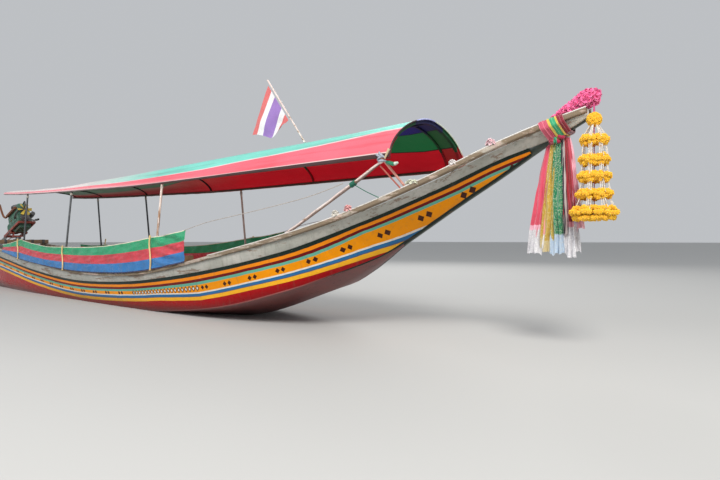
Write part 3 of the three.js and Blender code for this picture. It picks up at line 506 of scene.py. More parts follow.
@dataclass(frozen=True)
class HoopPaint(Finish):
    """Paint of the hoops: dark like the lining beside them, near black aft. Needs the attribute arc."""

    lining: CanopyCloth
    shade: float = 0.6
    black: Colour = (0.008, 0.009, 0.01)
    black_until: tuple[float, float] = (1.0, 2.4)

    def lay(self, p: Paint) -> Material:
        """Lays the finish on a new material."""
        near, x = p.round_share(), p.axis("X")
        wear = p.noise(30.0, (1, 1, 1), 6.0, 0.65)
        colour = p.bands(near, [(0.19, self.lining.green), (0.36, self.lining.navy)], self.lining.red, 0.004)
        colour = p.mix(self.shade, colour, self.black)
        colour = p.mix(1 - x.ramp(*self.black_until), colour, self.black)
        colour = p.mix(wear.over(0.66, 0.04) * 0.4, colour, (0.12, 0.1, 0.08))
        return p.done(colour, wear * 0.3 + 0.35, wear, 0.0008, Specular_IOR_Level=0.3)


@dataclass(frozen=True)
class RimPaint(Finish):
    """Edge of the front hoop, in worn colours that follow the cover, with a pale band on the far side that is
    a painted highlight along the edge. Needs the attribute arc.
    """

    dark: Colour = (0.05, 0.02, 0.025)
    lilac: Colour = (0.42, 0.46, 0.85)
    # Painted highlight: pale band where light catches the far side of the edge.
    pale: Colour = (0.72, 0.8, 0.68)
    rose: Colour = (0.6, 0.2, 0.2)

    def lay(self, p: Paint) -> Material:
        """Lays the finish on a new material."""
        wear = p.noise(24.0, (1, 1, 1), 5.0, 0.65)
        bands = [(0.36, self.lilac), (0.55, self.pale), (0.86, self.rose)]
        colour = p.bands(p.attribute("arc") + (wear - 0.5) * 0.03, bands, self.dark, 0.02)
        colour = p.mix(wear.over(0.6, 0.06) * 0.35, colour, (0.3, 0.24, 0.2))
        return p.done(colour, wear * 0.3 + 0.35, wear, 0.0008)


@dataclass(frozen=True)
class BandedCloth(Finish):
    """Cloth with bands across it, laid by the piece's attribute down, from 0 at the top to 1."""

    bands: tuple[tuple[float, Colour], ...]
    base: Colour
    soil: Colour = (0.5, 0.45, 0.4)
    soil_share: float = 0.3
    rough: float = 0.5
    sparkle: float = 0.0
    lace: float = 2.0
    threads: float = 420.0
    sheen: float = 0.3
    coat: float = 0.0

    def lay(self, p: Paint) -> Material:
        """Lays the finish on a new material."""
        down = p.attribute("down")
        colour = p.bands(down, self.bands, self.base, 0.006)
        soil = p.noise(4.5, detail=6.0)
        colour = p.mix(soil.ramp(0.45, 0.75) * self.soil_share, colour, self.soil, "MULTIPLY")
        height = p.weave(self.threads) * 0.3 + p.noise(38.0, detail=3.0) * 0.7
        rough: Field | float = soil * 0.25 + self.rough - 0.12
        if self.sparkle:
            # Painted glints: sequin spots painted pale cream, standing for light caught by the sequins.
            sequin = p.cells(95.0)
            lit = (1 - sequin.over(0.34, 0.08)) * self.sparkle
            colour = p.mix(lit * 0.55, colour, (1.0, 0.93, 0.72))
            rough = rough - lit * 0.3
            height = height * 0.4 + (1 - sequin) * 0.6
        holes = p.cells(150.0).over(0.42, 0.06) * down.over(self.lace)
        colour = p.mix(holes * 0.45, colour, (0.2, 0.2, 0.26))
        return p.done(colour, rough, height, 0.0016, Sheen_Weight=self.sheen, Coat_Weight=self.coat,
                      Coat_Roughness=0.2, Specular_IOR_Level=0.3)


@dataclass(frozen=True)
class Petals(Finish):
    """Petals of cloth flowers, lighter at their tips: partly their own colour, partly a painted highlight on
    the tips and painted shade in the hearts. Their mesh has the attribute tip.
    """

    heart: Colour
    tip: Colour
    rough: float = 0.6

    def lay(self, p: Paint) -> Material:
        """Lays the finish on a new material."""
        patch = p.noise(16.0, detail=3.0)
        fine = p.noise(160.0, detail=3.0)
        # Partly painted light: the tips get a painted highlight and the hearts painted shade, over the
        # petals' own tone.
        share = (p.attribute("tip") * 0.8 + patch * 0.5 - 0.15).ramp(0.1, 0.95)
        colour = p.mix(share, self.heart, self.tip)
        colour = p.mix(fine.ramp(0.35, 0.7) * 0.25, colour, (0.6, 0.5, 0.5), "MULTIPLY")
        return p.done(colour, patch * 0.2 + self.rough - 0.1, fine, 0.0012, Sheen_Weight=0.35)


@dataclass(frozen=True)
class WornMetal(Finish):
    """Metal, bare or painted, with oily dirt and rust that creeps from specks."""

    colour: Colour
    metal: float
    rough: float
    rust: float = 0.2
    rust_colour: Colour = (0.22, 0.075, 0.028)
    relief: float = 0.0008

    def lay(self, p: Paint) -> Material:
        """Lays the finish on a new material."""
        cloud = p.noise(7.0, detail=7.0, rough=0.62)
        fine = p.noise(120.0, detail=4.0)
        rust = (cloud + fine * 0.22 - 0.11).over(0.74 - self.rust * 0.4, 0.06)
        colour = p.mix(cloud.ramp(0.3, 0.7) * 0.4, self.colour, (0.06, 0.055, 0.05))
        colour = p.mix(rust, colour, p.mix(fine, self.rust_colour, (0.08, 0.03, 0.015)))
        rough = (fine * 0.2 + rust * 0.4 + self.rough - 0.08).least(0.95)
        return p.done(colour, rough, fine * 0.6 + rust * 0.4, self.relief, (1 - rust) * self.metal)


@dataclass(frozen=True)
class Moulded(Finish):
    """Plastic or rubber with a fine moulded grain, scuffs and dust."""

    colour: Colour
    rough: float = 0.42
    dust: float = 0.3

    def lay(self, p: Paint) -> Material:
        """Lays the finish on a new material."""
        cloud = p.noise(9.0, detail=6.0)
        fine = p.noise(420.0, detail=2.0)
        scuff = p.noise(35.0, (1, 1, 0.2), 5.0).over(0.64, 0.05)
        colour = p.mix(cloud.ramp(0.4, 0.75) * self.dust, self.colour, (0.28, 0.25, 0.2))
        colour = p.mix(scuff * 0.25, colour, (0.5, 0.5, 0.48))
        return p.done(colour, cloud * 0.2 + scuff * 0.15 + self.rough - 0.08, fine, 0.0003)


@dataclass(frozen=True)
class Twine(Finish):
    """Twisted cord, by object coordinates, with painted shade in the grooves between its strands."""

    colour: Colour
    shade: Colour

    def lay(self, p: Paint) -> Material:
        """Lays the finish on a new material."""
        lay = ((p.axis("X") + p.axis("Y") + p.axis("Z") * 1.6) * 620.0).sin() * 0.5 + 0.5
        fuzz = p.noise(240.0, detail=3.0)
        # Painted shade: the grooves of the lay take the darker shade colour.
        colour = p.mix((lay * 0.7 + fuzz * 0.4).ramp(0.2, 0.9), self.shade, self.colour)
        return p.done(colour, fuzz * 0.2 + 0.65, lay, 0.0012)


# --- Work on meshes ---------------------------------------------------------------------------


def turns(count: int, start: float = 0.0) -> list[float]:
    """Angles of so many equal steps round a circle."""
    return [start + 2 * pi * k / count for k in range(count)]


class Bench:
    """Blender's own modelling operators, each with its selection set first."""

    @staticmethod
    def choose(*pieces: Piece) -> None:
        """Selects these pieces alone, the first one active."""
        bpy.ops.object.select_all(action="DESELECT")
        for piece in pieces:
            piece.select_set(True)
        bpy.context.view_layer.objects.active = pieces[0]

    @staticmethod
    def start(name: str, add: Callable[..., object], **settings: float) -> Piece:
        """Adds a primitive, with nothing else selected.

        Args:
            name: Piece name.
            add: Blender's operator for the primitive.
            **settings: The operator's own.

        Returns:
            The new piece.
        """
        bpy.ops.object.select_all(action="DESELECT")
        add(**settings)
        piece = bpy.context.object
        piece.name = piece.data.name = name
        return piece

    @staticmethod
    def edit(piece: Piece, *steps: Callable[[], object]) -> Piece:
        """Runs operators in edit mode on all of a piece's mesh.

        Args:
            piece: The piece.
            *steps: Calls of operators, in order.

        Returns:
            The same piece.
        """
        Bench.choose(piece)
        bpy.ops.object.mode_set(mode="EDIT")
        bpy.ops.mesh.select_all(action="SELECT")
        for step in steps:
            step()
        bpy.ops.object.mode_set(mode="OBJECT")
        return piece

    @staticmethod
    def weld(piece: Piece) -> Piece:
        """Merges doubles and turns faces outward."""
        return Bench.edit(piece, lambda: bpy.ops.mesh.remove_doubles(threshold=1e-5),
                          lambda: bpy.ops.mesh.normals_make_consistent(inside=False))

    @staticmethod
    def modify(piece: Piece, kind: str, **settings: object) -> Piece:
        """Adds a modifier and applies it.

        Args:
            piece: The piece.
            kind: Blender's type of the modifier.
            **settings: The modifier's own.

        Returns:
            The same piece.
        """
        Bench.choose(piece)
        made = piece.modifiers.new(kind.title(), kind)
        for key, value in settings.items():
            setattr(made, key, value)
        bpy.ops.object.modifier_apply(modifier=made.name)
        return piece

    @staticmethod
    def thicken(piece: Piece, thickness: float, offset: float = 0.0, **settings: int) -> Piece:
        """Gives an open sheet its thickness, about its middle or to one side."""
        return Bench.modify(piece, "SOLIDIFY", thickness=thickness, offset=offset, **settings)

    @staticmethod
    def bevel(piece: Piece, width: float, segments: int = 2, angle: float = 30.0) -> Piece:
        """Rounds edges that are sharper than an angle."""
        return Bench.modify(piece, "BEVEL", width=width, segments=segments, limit_method="ANGLE",
                            angle_limit=radians(angle), use_clamp_overlap=True)

    @staticmethod
    def smooth(piece: Piece, angle: float = 35.0) -> Piece:
        """Smooth shading, apart from edges sharper than an angle."""
        Bench.choose(piece)
        bpy.ops.object.shade_smooth_by_angle(angle=radians(angle))
        return piece

    @staticmethod
    def copy(piece: Piece, name: str) -> Piece:
        """A copy with its own mesh, free of what the frame keeps on its nodes.

        Args:
            piece: A node or a model.
            name: Name of the copy.

        Returns:
            The copy, without materials.
        """
        made = piece.copy()
        made.data = piece.data.copy()
        made.name = made.data.name = name
        made.data.materials.clear()
        for key in [k for k in made.keys() if k.startswith("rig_")]:
            del made[key]
        made.parent = None
        made.hide_render = made.hide_viewport = False
        bpy.context.scene.collection.objects.link(made)
        return made

    @staticmethod
    def join(name: str, pieces: Sequence[Piece]) -> Piece:
        """One piece from several."""
        Bench.choose(*pieces)
        if len(pieces) > 1:
            bpy.ops.object.join()
        pieces[0].name = pieces[0].data.name = name
        return pieces[0]

    @staticmethod
    def keep(piece: Piece, key: str, numbers: Sequence[float]) -> None:
        """Keeps a number on each point of a mesh."""
        piece.data.attributes.new(key, "FLOAT", "POINT").data.foreach_set("value", numbers)

    @staticmethod
    def mark(piece: Piece, key: str, number: Callable[[Vector], float]) -> None:
        """Keeps a number on each point of a finished mesh, by its place."""
        Bench.keep(piece, key, [number(v.co) for v in piece.data.vertices])

    @staticmethod
    def sheet(name: str, along: int, across: int, point: Callable[[float, float], Sequence[float]],
              mark: str = "", share: int = 1) -> Piece:
        """A grid whose points are moved one by one.

        Args:
            name: Piece name.
            along: Faces in the first direction.
            across: Faces in the second direction.
            point: Place of a point, by its shares from 0 to 1 in both directions.
            mark: Attribute that keeps one of each point's shares.
            share: Which of the two it keeps, 0 or 1.

        Returns:
            The piece, open and one face thick.
        """
        piece = Bench.start(name, bpy.ops.mesh.primitive_grid_add, x_subdivisions=along,
                            y_subdivisions=across, size=1.0)
        shares = [(v.co.x + 0.5, v.co.y + 0.5) for v in piece.data.vertices]
        for vertex, (u, v) in zip(piece.data.vertices, shares):
            vertex.co = point(u, v)
        if mark:
            Bench.keep(piece, mark, [pair[share] for pair in shares])
        piece.data.update()
        return piece

    @staticmethod
    def area(piece: Piece) -> float:
        """Area of all of a piece's faces."""
        return sum(face.area for face in piece.data.polygons)

    @staticmethod
    def block(name: str, low: Sequence[float], high: Sequence[float], bevel: float = 0.004,
              inset: float = 0.0) -> Piece:
        """A box with rounded edges.

        Args:
            name: Piece name.
            low: Lowest corner.
            high: Highest corner.
            bevel: Width of the rounding.
            inset: Rim of the sunken panels in its sides, or 0 for none.

        Returns:
            The piece.
        """
        piece = Bench.start(name, bpy.ops.mesh.primitive_cube_add, size=1.0)
        for vertex in piece.data.vertices:
            vertex.co = [(a + b) / 2 + c * (b - a) for a, b, c in zip(Vector(low), Vector(high), vertex.co)]
        if inset:
            Bench.edit(piece, lambda: bpy.ops.mesh.inset(
                thickness=inset, depth=-inset / 4, use_individual=True))
        return Bench.smooth(Bench.bevel(piece, bevel), 40)

    @staticmethod
    def tube(name: str, points: Line, radii: float | Sequence[float],
             sides: int = 10, flat: float = 1.0) -> Piece:
        """A closed round bar along points, of one radius or of one at each point.

        Args:
            name: Piece name.
            points: Middle line.
            radii: Radius, or one for each point.
            sides: Faces around.
            flat: Share of the radius that is kept upright, for a flat band.

        Returns:
            The piece, with closed ends.
        """
        line = [Vector(p) for p in points]
        sizes = [radii] * len(line) if isinstance(radii, (int, float)) else list(radii)
        line = [line[0], *line, line[-1]]
        sizes = [0.0, *sizes, 0.0]
        rings: list[list[Vector]] = []
        way = next(b - a for a, b in zip(line, line[1:]) if (b - a).length > 1e-9).normalized()
        side = way.cross(Vector(UP) if abs(way.z) < 0.9 else Vector((0, 1, 0)))
        last = len(line) - 1
        for i, centre in enumerate(line):
            ahead = (line[min(i + 1, last)] - line[max(i - 1, 0)]).normalized()
            if ahead.dot(way) > 1e-6:
                way = ahead
            side = (side - way * side.dot(way)).normalized()
            up = side.cross(way)
            rings.append([centre + (side * cos(a) + up * sin(a) * flat) * sizes[i]
                          for a in turns(sides)])
        piece = Bench.sheet(name, last, sides, lambda u, v: rings[round(u * last)][round(v * sides) % sides])
        return Bench.smooth(Bench.weld(piece), 50)

    @staticmethod
    def turned(name: str, at: Sequence[float], way: Sequence[float], rows: Rows, sides: int = 12) -> Piece:
        """A round part turned about a line.

        Args:
            name: Piece name.
            at: Where the line starts.
            way: Its direction, 1 long.
            rows: How far along it each ring lies, and the ring's radius.
            sides: Faces around.

        Returns:
            The piece, with closed ends.
        """
        line = [[a + w * reach for a, w in zip(at, way)] for reach, _ in rows]
        return Bench.tube(name, line, [radius for _, radius in rows], sides)

    @staticmethod
    def curve(points: Line, steps: int = 6) -> list[Vector]:
        """Points along a smooth line through a few.

        Args:
            points: Those that it goes through.
            steps: Points for each stretch between two.

        Returns:
            The line's points, with both ends.
        """
        ends = [Vector(points[0]) * 2 - Vector(points[1]), *map(Vector, points),
                Vector(points[-1]) * 2 - Vector(points[-2])]
        line = []
        for a, b, c, d in zip(ends, ends[1:], ends[2:], ends[3:]):
            for k in range(steps):
                t = k / steps
                line.append(0.5 * ((2 * b) + (c - a) * t + (2 * a - 5 * b + 4 * c - d) * t * t
                                   + (3 * b - a - 3 * c + d) * t ** 3))
        return [*line, Vector(points[-1])]

    @staticmethod
    def scatter(name: str, model: Piece, places: Iterable[tuple[Vector, Vector, float]],
                draw: random.Random) -> Piece:
        """Copies of one model at places, each with its own mesh, joined to one piece.

        Args:
            name: Piece name.
            model: The one that is copied, at the origin and facing up. It is removed.
            places: Middle, outward direction and size of each.
            draw: Source of the turn about the outward direction.

        Returns:
            The piece.
        """
        copies = []
        level = Vector(UP).to_track_quat("Z", "Y").to_matrix().to_4x4()
        for middle, outward, size in places:
            made = Bench.copy(model, name + "_part")
            turn = outward.to_track_quat("Z", "Y").to_matrix().to_4x4() @ level
            angle = draw.uniform(0, 2 * pi)
            ahead, aside = cos(angle) * size, sin(angle) * size
            made.data.vertices.foreach_set("co", [c for v in model.data.vertices for c in (
                turn @ Vector((v.co.x * ahead - v.co.y * aside, v.co.x * aside + v.co.y * ahead,
                               v.co.z * size)) + middle)])
            copies.append(made)
        bpy.data.objects.remove(model)
        return Bench.join(name, copies)


def dress(piece: Piece, finish: Finish, slot: str, body: str = "hull", replaces: Sequence[str] = ()) -> Piece:
    """Gives a piece its finish and body, and logs it.

    Args:
        piece: A finished mesh. One with two materials keeps them.
        finish: Its finish.
        slot: The record's slot for that finish; not used.
        body: The body it moves with.
        replaces: Nodes it stands for.

    Returns:
        The piece.
    """
    if len(piece.data.materials) < 2:
        piece.data.materials.clear()
        piece.data.materials.append(finish.make())
    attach(piece, body)
    if replaces:
        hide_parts(*replaces)
    LOG.info("%s: %d faces on %s", piece.name, len(piece.data.polygons), body)
    return piece


def table(rows: Rows, x: float) -> float:
    """Value at x on straight lines through rows, level past both ends.

    Args:
        rows: Places and their values, in order.
        x: The place.

    Returns:
        The value.
    """
    if x <= rows[0][0]:
        return rows[0][1]
    for (x0, v0), (x1, v1) in zip(rows, rows[1:]):
        if x <= x1:
            return v0 + (v1 - v0) * (x - x0) / (x1 - x0)
    return rows[-1][1]


@dataclass
class HullLines:
    """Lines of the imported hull, read from its own nodes."""

    nodes: dict[str, Piece]
    rail: Rows = field(init=False)
    rail_out: Rows = field(init=False)
    foot: Rows = field(init=False)
    chine: Rows = field(init=False)

    def sections(self, node: str) -> list[tuple[float, Rows]]:
        """Stations of a node, each with its points (y, z)."""
        found: dict[float, list[tuple[float, float]]] = {}
        for vertex in self.nodes[node].data.vertices:
            found.setdefault(round(vertex.co.x, 3), []).append((abs(vertex.co.y), vertex.co.z))
        return sorted(found.items())

    def __post_init__(self) -> None:
        """Reads the rail's top and outside, and the planking's upper and lower edge."""
        caps, planks = self.sections("rail_cap_port"), self.sections("side_planking_port")
        self.rail = [(x, max(z for _, z in points)) for x, points in caps]
        self.rail_out = [(x, max(y for y, _ in points)) for x, points in caps]
        self.foot = [(x, max(z for _, z in points)) for x, points in planks]
        self.chine = [(x, min(z for _, z in points)) for x, points in planks]

    def on_rail(self, x: float, sign: int, inward: float = 0.0, up: float = 0.0) -> Vector:
        """A place on the rail's top.

        Args:
            x: Station.
            sign: 1 to port, -1 to starboard.
            inward: How far in from the rail's outside.
            up: How far over its top.

        Returns:
            The place.
        """
        return Vector((x, sign * (table(self.rail_out, x) - inward), table(self.rail, x) + up))

    def own_shape(self, node: str, name: str, width: float, segments: int = 2, angle: float = 40.0,
                  shade: float = 35.0, first: Callable[[Piece], object] | None = None,
                  parts: Sequence[Piece] = ()) -> Piece:
        """A node's own shape with its edges rounded.

        Args:
            node: The node.
            name: Piece name.
            width: Width of the rounding.
            segments: Faces across the rounding.
            angle: Edges sharper than this are rounded.
            shade: Edges sharper than this stay sharp in the shading.
            first: What is done to the copy before it is rounded.
            parts: Small parts that are joined to it.

        Returns:
            The piece, not yet dressed.
        """
        piece = Bench.weld(Bench.copy(self.nodes[node], name))
        if first:
            first(piece)
        Bench.bevel(piece, width, segments, angle)
        return Bench.smooth(Bench.join(name, [piece, *parts]), shade)


# --- Hull -------------------------------------------------------------------------------------

GREY_PAINT = WeatheredPaint(
    "strake_paint", (0.33, 0.34, 0.3), (0.5, 0.49, 0.45), bare=(0.24, 0.18, 0.14), wear=0.5,
    grime=(0.1, 0.11, 0.07), grime_share=0.45)
TIP_PAINT = WeatheredPaint(
    "tip_paint", (0.7, 0.69, 0.66), (0.8, 0.79, 0.76), bare=(0.42, 0.33, 0.25), wear=0.5,
    grime=(0.3, 0.24, 0.18), grime_share=0.5)
RAIL_PAINT = WeatheredPaint(
    "rail_paint", (0.4, 0.38, 0.32), (0.5, 0.34, 0.28), bare=(0.2, 0.15, 0.1), wear=0.9, rough=0.6,
    grime=(0.1, 0.14, 0.08), grime_share=0.6)
BATTEN_PAINT = WeatheredPaint("batten_paint", (0.78, 0.75, 0.7), (0.85, 0.83, 0.8), wear=0.3, rough=0.4)
BOTTOM_PAINT = WeatheredPaint(
    "bottom_paint", (0.13, 0.018, 0.02), (0.2, 0.045, 0.04), bare=(0.1, 0.06, 0.045), rough=0.42,
    grime=(0.03, 0.04, 0.025), grime_share=0.55, coat=0.1)
STEM_PAINT = WeatheredPaint(
    "stem_paint", (0.012, 0.032, 0.024), (0.03, 0.05, 0.04), bare=(0.12, 0.09, 0.06), wear=0.4, rough=0.4,
    coat=0.1)
SIDE_STRIPES = Stripes("side_stripes")
INNER_PAINT = WeatheredPaint(
    "inner_paint", (0.27, 0.1, 0.06), (0.34, 0.16, 0.1), bare=(0.3, 0.2, 0.12), wear=0.5, rough=0.6,
    grime=(0.06, 0.04, 0.03), grime_share=0.5)
DECK_WOOD = BoatWood("deck_wood", (0.36, 0.24, 0.14), (0.16, 0.09, 0.05), board=0.13)
FLOOR_WOOD = BoatWood("floor_wood", (0.3, 0.2, 0.12), (0.13, 0.08, 0.045), board=0.17)
RIB_WOOD = BoatWood("rib_wood", (0.34, 0.2, 0.12), (0.17, 0.08, 0.05), Grain.UPRIGHT, 2.0)
SEAT_WOOD = BoatWood("seat_wood", (0.5, 0.31, 0.16), (0.24, 0.13, 0.06), Grain.ACROSS, 0.107, "X", 0.45)


@dataclass
class Hull:
    """Planking, rails, stem and transom. Widths of the stripes follow the hull's stations."""

    lines: HullLines
    edge: float = 0.004
    batten_radius: float = 0.009
    batten_from: float = 2.25
    batten_inset: float = 0.014
    stretch: Rows = ((1.0, 1.0), (2.0, 1.1), (3.0, 1.0), (4.0, 1.0), (4.6, 0.72), (5.2, 0.68), (6.0, 0.65))
    shift: Rows = ((0.0, -0.045), (1.0, -0.035), (2.0, 0.022), (3.0, 0.0), (4.0, -0.002), (4.6, -0.005))
    lozenge_depth: Rows = (
        (0.0, 0.18), (1.0, 0.187), (2.0, 0.214), (2.6, 0.216), (3.5, 0.2), (3.95, 0.195), (4.36, 0.19),
        (4.78, 0.176), (5.25, 0.165), (5.74, 0.128), (6.3, 0.1))
    pair_places: tuple[float, ...] = (2.14, 2.6, 3.06, 3.515, 3.945, 4.355, 4.775, 5.25, 5.735, 6.25)

    def pair_count(self, x: float) -> float:
        """Number that is whole at each pair of lozenges."""
        first = self.pair_places[0]
        if x < first:
            return (x - first) / SIDE_STRIPES.pair_pitch
        return table([(place, i) for i, place in enumerate(self.pair_places)], x)

    def side(self, name: str, sign: int) -> Piece:
        """One side's planking, striped outside and plain inside.

        Args:
            name: Name of the side.
            sign: 1 to port, -1 to starboard.

        Returns:
            The piece.
        """
        node, lines = f"side_planking_{name}", self.lines
        piece = Bench.weld(Bench.copy(lines.nodes[node], f"striped_side_{name}"))
        Bench.edit(piece, lambda: bpy.ops.mesh.subdivide(number_cuts=3))
        for key, number in (
                ("upper", lambda p: (table(lines.foot, p.x) - p.z) / table(self.stretch, p.x)),
                ("lower", lambda p: table(lines.foot, p.x) - p.z - table(self.shift, p.x)),
                ("middle", lambda p: table(lines.foot, p.x) - p.z - table(self.lozenge_depth, p.x)),
                ("pairs", lambda p: self.pair_count(p.x)),
                ("above", lambda p: p.z - table(lines.chine, p.x))):
            Bench.mark(piece, key, number)
        for finish in (SIDE_STRIPES, INNER_PAINT):
            piece.data.materials.append(finish.make())
        for face in piece.data.polygons:
            face.material_index = int(face.normal.y * sign < -0.3)
        return dress(Bench.smooth(piece, 30), SIDE_STRIPES, "striped_paint", replaces=[node])

    def plank(self, node: str, name: str, finish: WeatheredPaint, slot: str, width: float) -> Piece:
        """A plank or timber of the hull, as its node.

        Args:
            node: The node it stands for.
            name: Piece name.
            finish: Its paint.
            slot: The record's slot.
            width: Width of its rounded edges.

        Returns:
            The piece.
        """
        def quads(made: Piece) -> Piece:
            """Joins its triangles to four-sided faces."""
            return Bench.edit(made, lambda: bpy.ops.mesh.tris_convert_to_quads())

        piece = self.lines.own_shape(node, name, width, first=quads)
        return dress(piece, finish, slot, replaces=[node])

    def batten(self, name: str, sign: int) -> Piece:
        """Thin bright batten on top of the rail."""
        points = [self.lines.on_rail(x, sign, self.batten_inset, self.batten_radius * 0.8)
                  for x, _ in self.lines.rail if x > self.batten_from]
        return dress(Bench.tube(f"rail_batten_{name}", points, self.batten_radius, 8, 0.8), BATTEN_PAINT,
                     "rail_wood")

    def build(self) -> None:
        """Builds the hull's outside."""
        for name, sign in SIDES.items():
            self.side(name, sign)
            self.plank(f"top_strake_{name}", f"grey_strake_{name}", GREY_PAINT, "grey_paint", self.edge)
            self.plank(f"rail_cap_{name}", f"worn_rail_{name}", RAIL_PAINT, "rail_wood", self.edge * 2)
            self.batten(name, sign)
        for node, name, finish, slot in (
                ("stem", "dark_stem", STEM_PAINT, "bottom_paint"),
                ("bow_board", "bow_block", TIP_PAINT, "grey_paint"),
                ("transom", "stern_board", GREY_PAINT, "grey_paint"),
                ("bottom_planking", "bottom_boards", BOTTOM_PAINT, "bottom_paint")):
            self.plank(node, name, finish, slot, self.edge)


@dataclass
class Inside:
    """Decks, floor, ribs and seats."""

    lines: HullLines
    seat_count: int = 5
    edge: float = 0.004
    board_level: float = 0.47
    cleat: tuple[float, float] = (0.02, 0.035)
    slat_half: float = 0.035
    slat_gaps: int = 8
    margin: float = 0.03

    def seat(self, number: int) -> Piece:
        """A bench with cleats under its boards and slats on its back.

        Args:
            number: Number of the seat, from 1.

        Returns:
            The piece.
        """
        low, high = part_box(f"seat_{number}")
        top = low.z + (high.z - low.z) * self.board_level
        half, deep = self.cleat
        inner = self.margin
        parts = [
            Bench.block("cleat", (low.x + inner, y - half, top - inner - deep),
                        (high.x - inner, y + half, top - inner))
            for y in (low.y + 0.16, (low.y + high.y) / 2, high.y - 0.16)]
        parts += [
            Bench.block("slat", (low.x + 0.021, y - self.slat_half, top + inner),
                        (low.x + 0.033, y + self.slat_half, high.z - inner))
            for y in (low.y + (high.y - low.y) * k / self.slat_gaps for k in range(1, self.slat_gaps))]
        piece = self.lines.own_shape(f"seat_{number}", f"bench_{number}", 0.006, parts=parts)
        return dress(piece, SEAT_WOOD, "seat_wood", replaces=[f"seat_{number}"])

    def build(self) -> None:
        """Builds all that stands inside the hull."""
        for node, name, finish in (
                ("fore_deck", "bow_deck", DECK_WOOD), ("aft_deck", "stern_deck", DECK_WOOD),
                ("floor_boards", "sole_boards", FLOOR_WOOD), ("floor_timbers", "sole_bearers", RIB_WOOD),
                *((f"side_ribs_{side}", f"frames_{side}", RIB_WOOD) for side in SIDES)):
            dress(self.lines.own_shape(node, name, self.edge), finish, "inner_wood", replaces=[node])
        for number in range(1, self.seat_count + 1):
            self.seat(number)


# --- Canopy -----------------------------------------------------------------------------------

CANVAS_OUT = CanopyCloth("canopy_outside", inside=False)
CANVAS_IN = CanopyCloth("canopy_inside", inside=True)
POLE_PAINT = WeatheredPaint(
    "pole_paint", (0.66, 0.52, 0.46), (0.8, 0.72, 0.66), bare=(0.33, 0.18, 0.1), wear=0.5, rough=0.42,
    grime=(0.24, 0.13, 0.08), grime_share=0.45, grain=Grain.UPRIGHT, coat=0.15)
BRACE_PAINT = WeatheredPaint(
    "brace_paint", (0.74, 0.58, 0.54), (0.84, 0.76, 0.72), bare=(0.3, 0.17, 0.1), wear=0.45, rough=0.4,
    grime=(0.2, 0.1, 0.07), grime_share=0.5, coat=0.2)
BRACE_DARK = WeatheredPaint(
    "brace_dark", (0.09, 0.05, 0.04), (0.18, 0.11, 0.08), bare=(0.4, 0.3, 0.25), wear=0.3)
RED_STICK = WeatheredPaint("red_stick", (0.5, 0.1, 0.08), (0.5, 0.12, 0.09), wear=0.3, rough=0.45)
STRUT_PAINT = WeatheredPaint(
    "strut_paint", (0.72, 0.25, 0.2), (0.8, 0.4, 0.33), bare=(0.3, 0.17, 0.1), wear=0.4, rough=0.45)
HOOP_PAINT = HoopPaint("hoop_paint", CANVAS_IN)
RIM_PAINT = RimPaint("rim_paint")
EAVE_PAINT = WeatheredPaint(
    "eave_paint", (0.035, 0.035, 0.02), (0.07, 0.05, 0.035), bare=(0.25, 0.12, 0.1), wear=0.4, rough=0.45)
DARK_POST = WeatheredPaint(
    "dark_post_paint", (0.02, 0.024, 0.03), (0.05, 0.06, 0.07), bare=(0.2, 0.2, 0.2), rough=0.45,
    grain=Grain.UPRIGHT)
BAMBOO = BoatWood("bamboo", (0.9, 0.7, 0.36), (0.62, 0.42, 0.16), Grain.UPRIGHT, 2.0, "Y", 0.4)
CURTAIN_BANDS = BandedCloth(
    "curtain_bands", ((0.025, (0.015, 0.3, 0.13)), (0.335, (0.55, 0.04, 0.06)), (0.665, (0.02, 0.16, 0.42)),
    (0.965, (0.012, 0.02, 0.08))), (0.74, 0.68, 0.52), soil=(0.5, 0.46, 0.42), soil_share=0.45, rough=0.3,
    threads=300.0, sheen=0.0, coat=0.3)
FLAG_BANDS = BandedCloth(
    "flag_bands", ((0.167, (0.82, 0.78, 0.8)), (0.333, (0.3, 0.16, 0.48)), (0.667, (0.82, 0.78, 0.8)),
    (0.833, (0.68, 0.13, 0.13))), (0.68, 0.13, 0.13), rough=0.6, threads=700.0)
GREEN_CORD = Twine("green_cord", (0.02, 0.2, 0.12), (0.01, 0.07, 0.05))
GREY_CLOTH = Twine("grey_cloth", (0.5, 0.54, 0.6), (0.22, 0.25, 0.32))
CREAM_CLOTH = Twine("cream_cloth", (0.72, 0.6, 0.4), (0.45, 0.34, 0.2))
PALE_CORD = Twine("pale_cord", (0.75, 0.72, 0.66), (0.4, 0.36, 0.3))
LINE_CORD = Twine("line", (0.6, 0.56, 0.5), (0.25, 0.2, 0.18))
ROLLED_CLOTH = BandedCloth("rolled_cloth", ((0.8, (0.6, 0.68, 0.6)),), (0.01, 0.2, 0.1), rough=0.4)


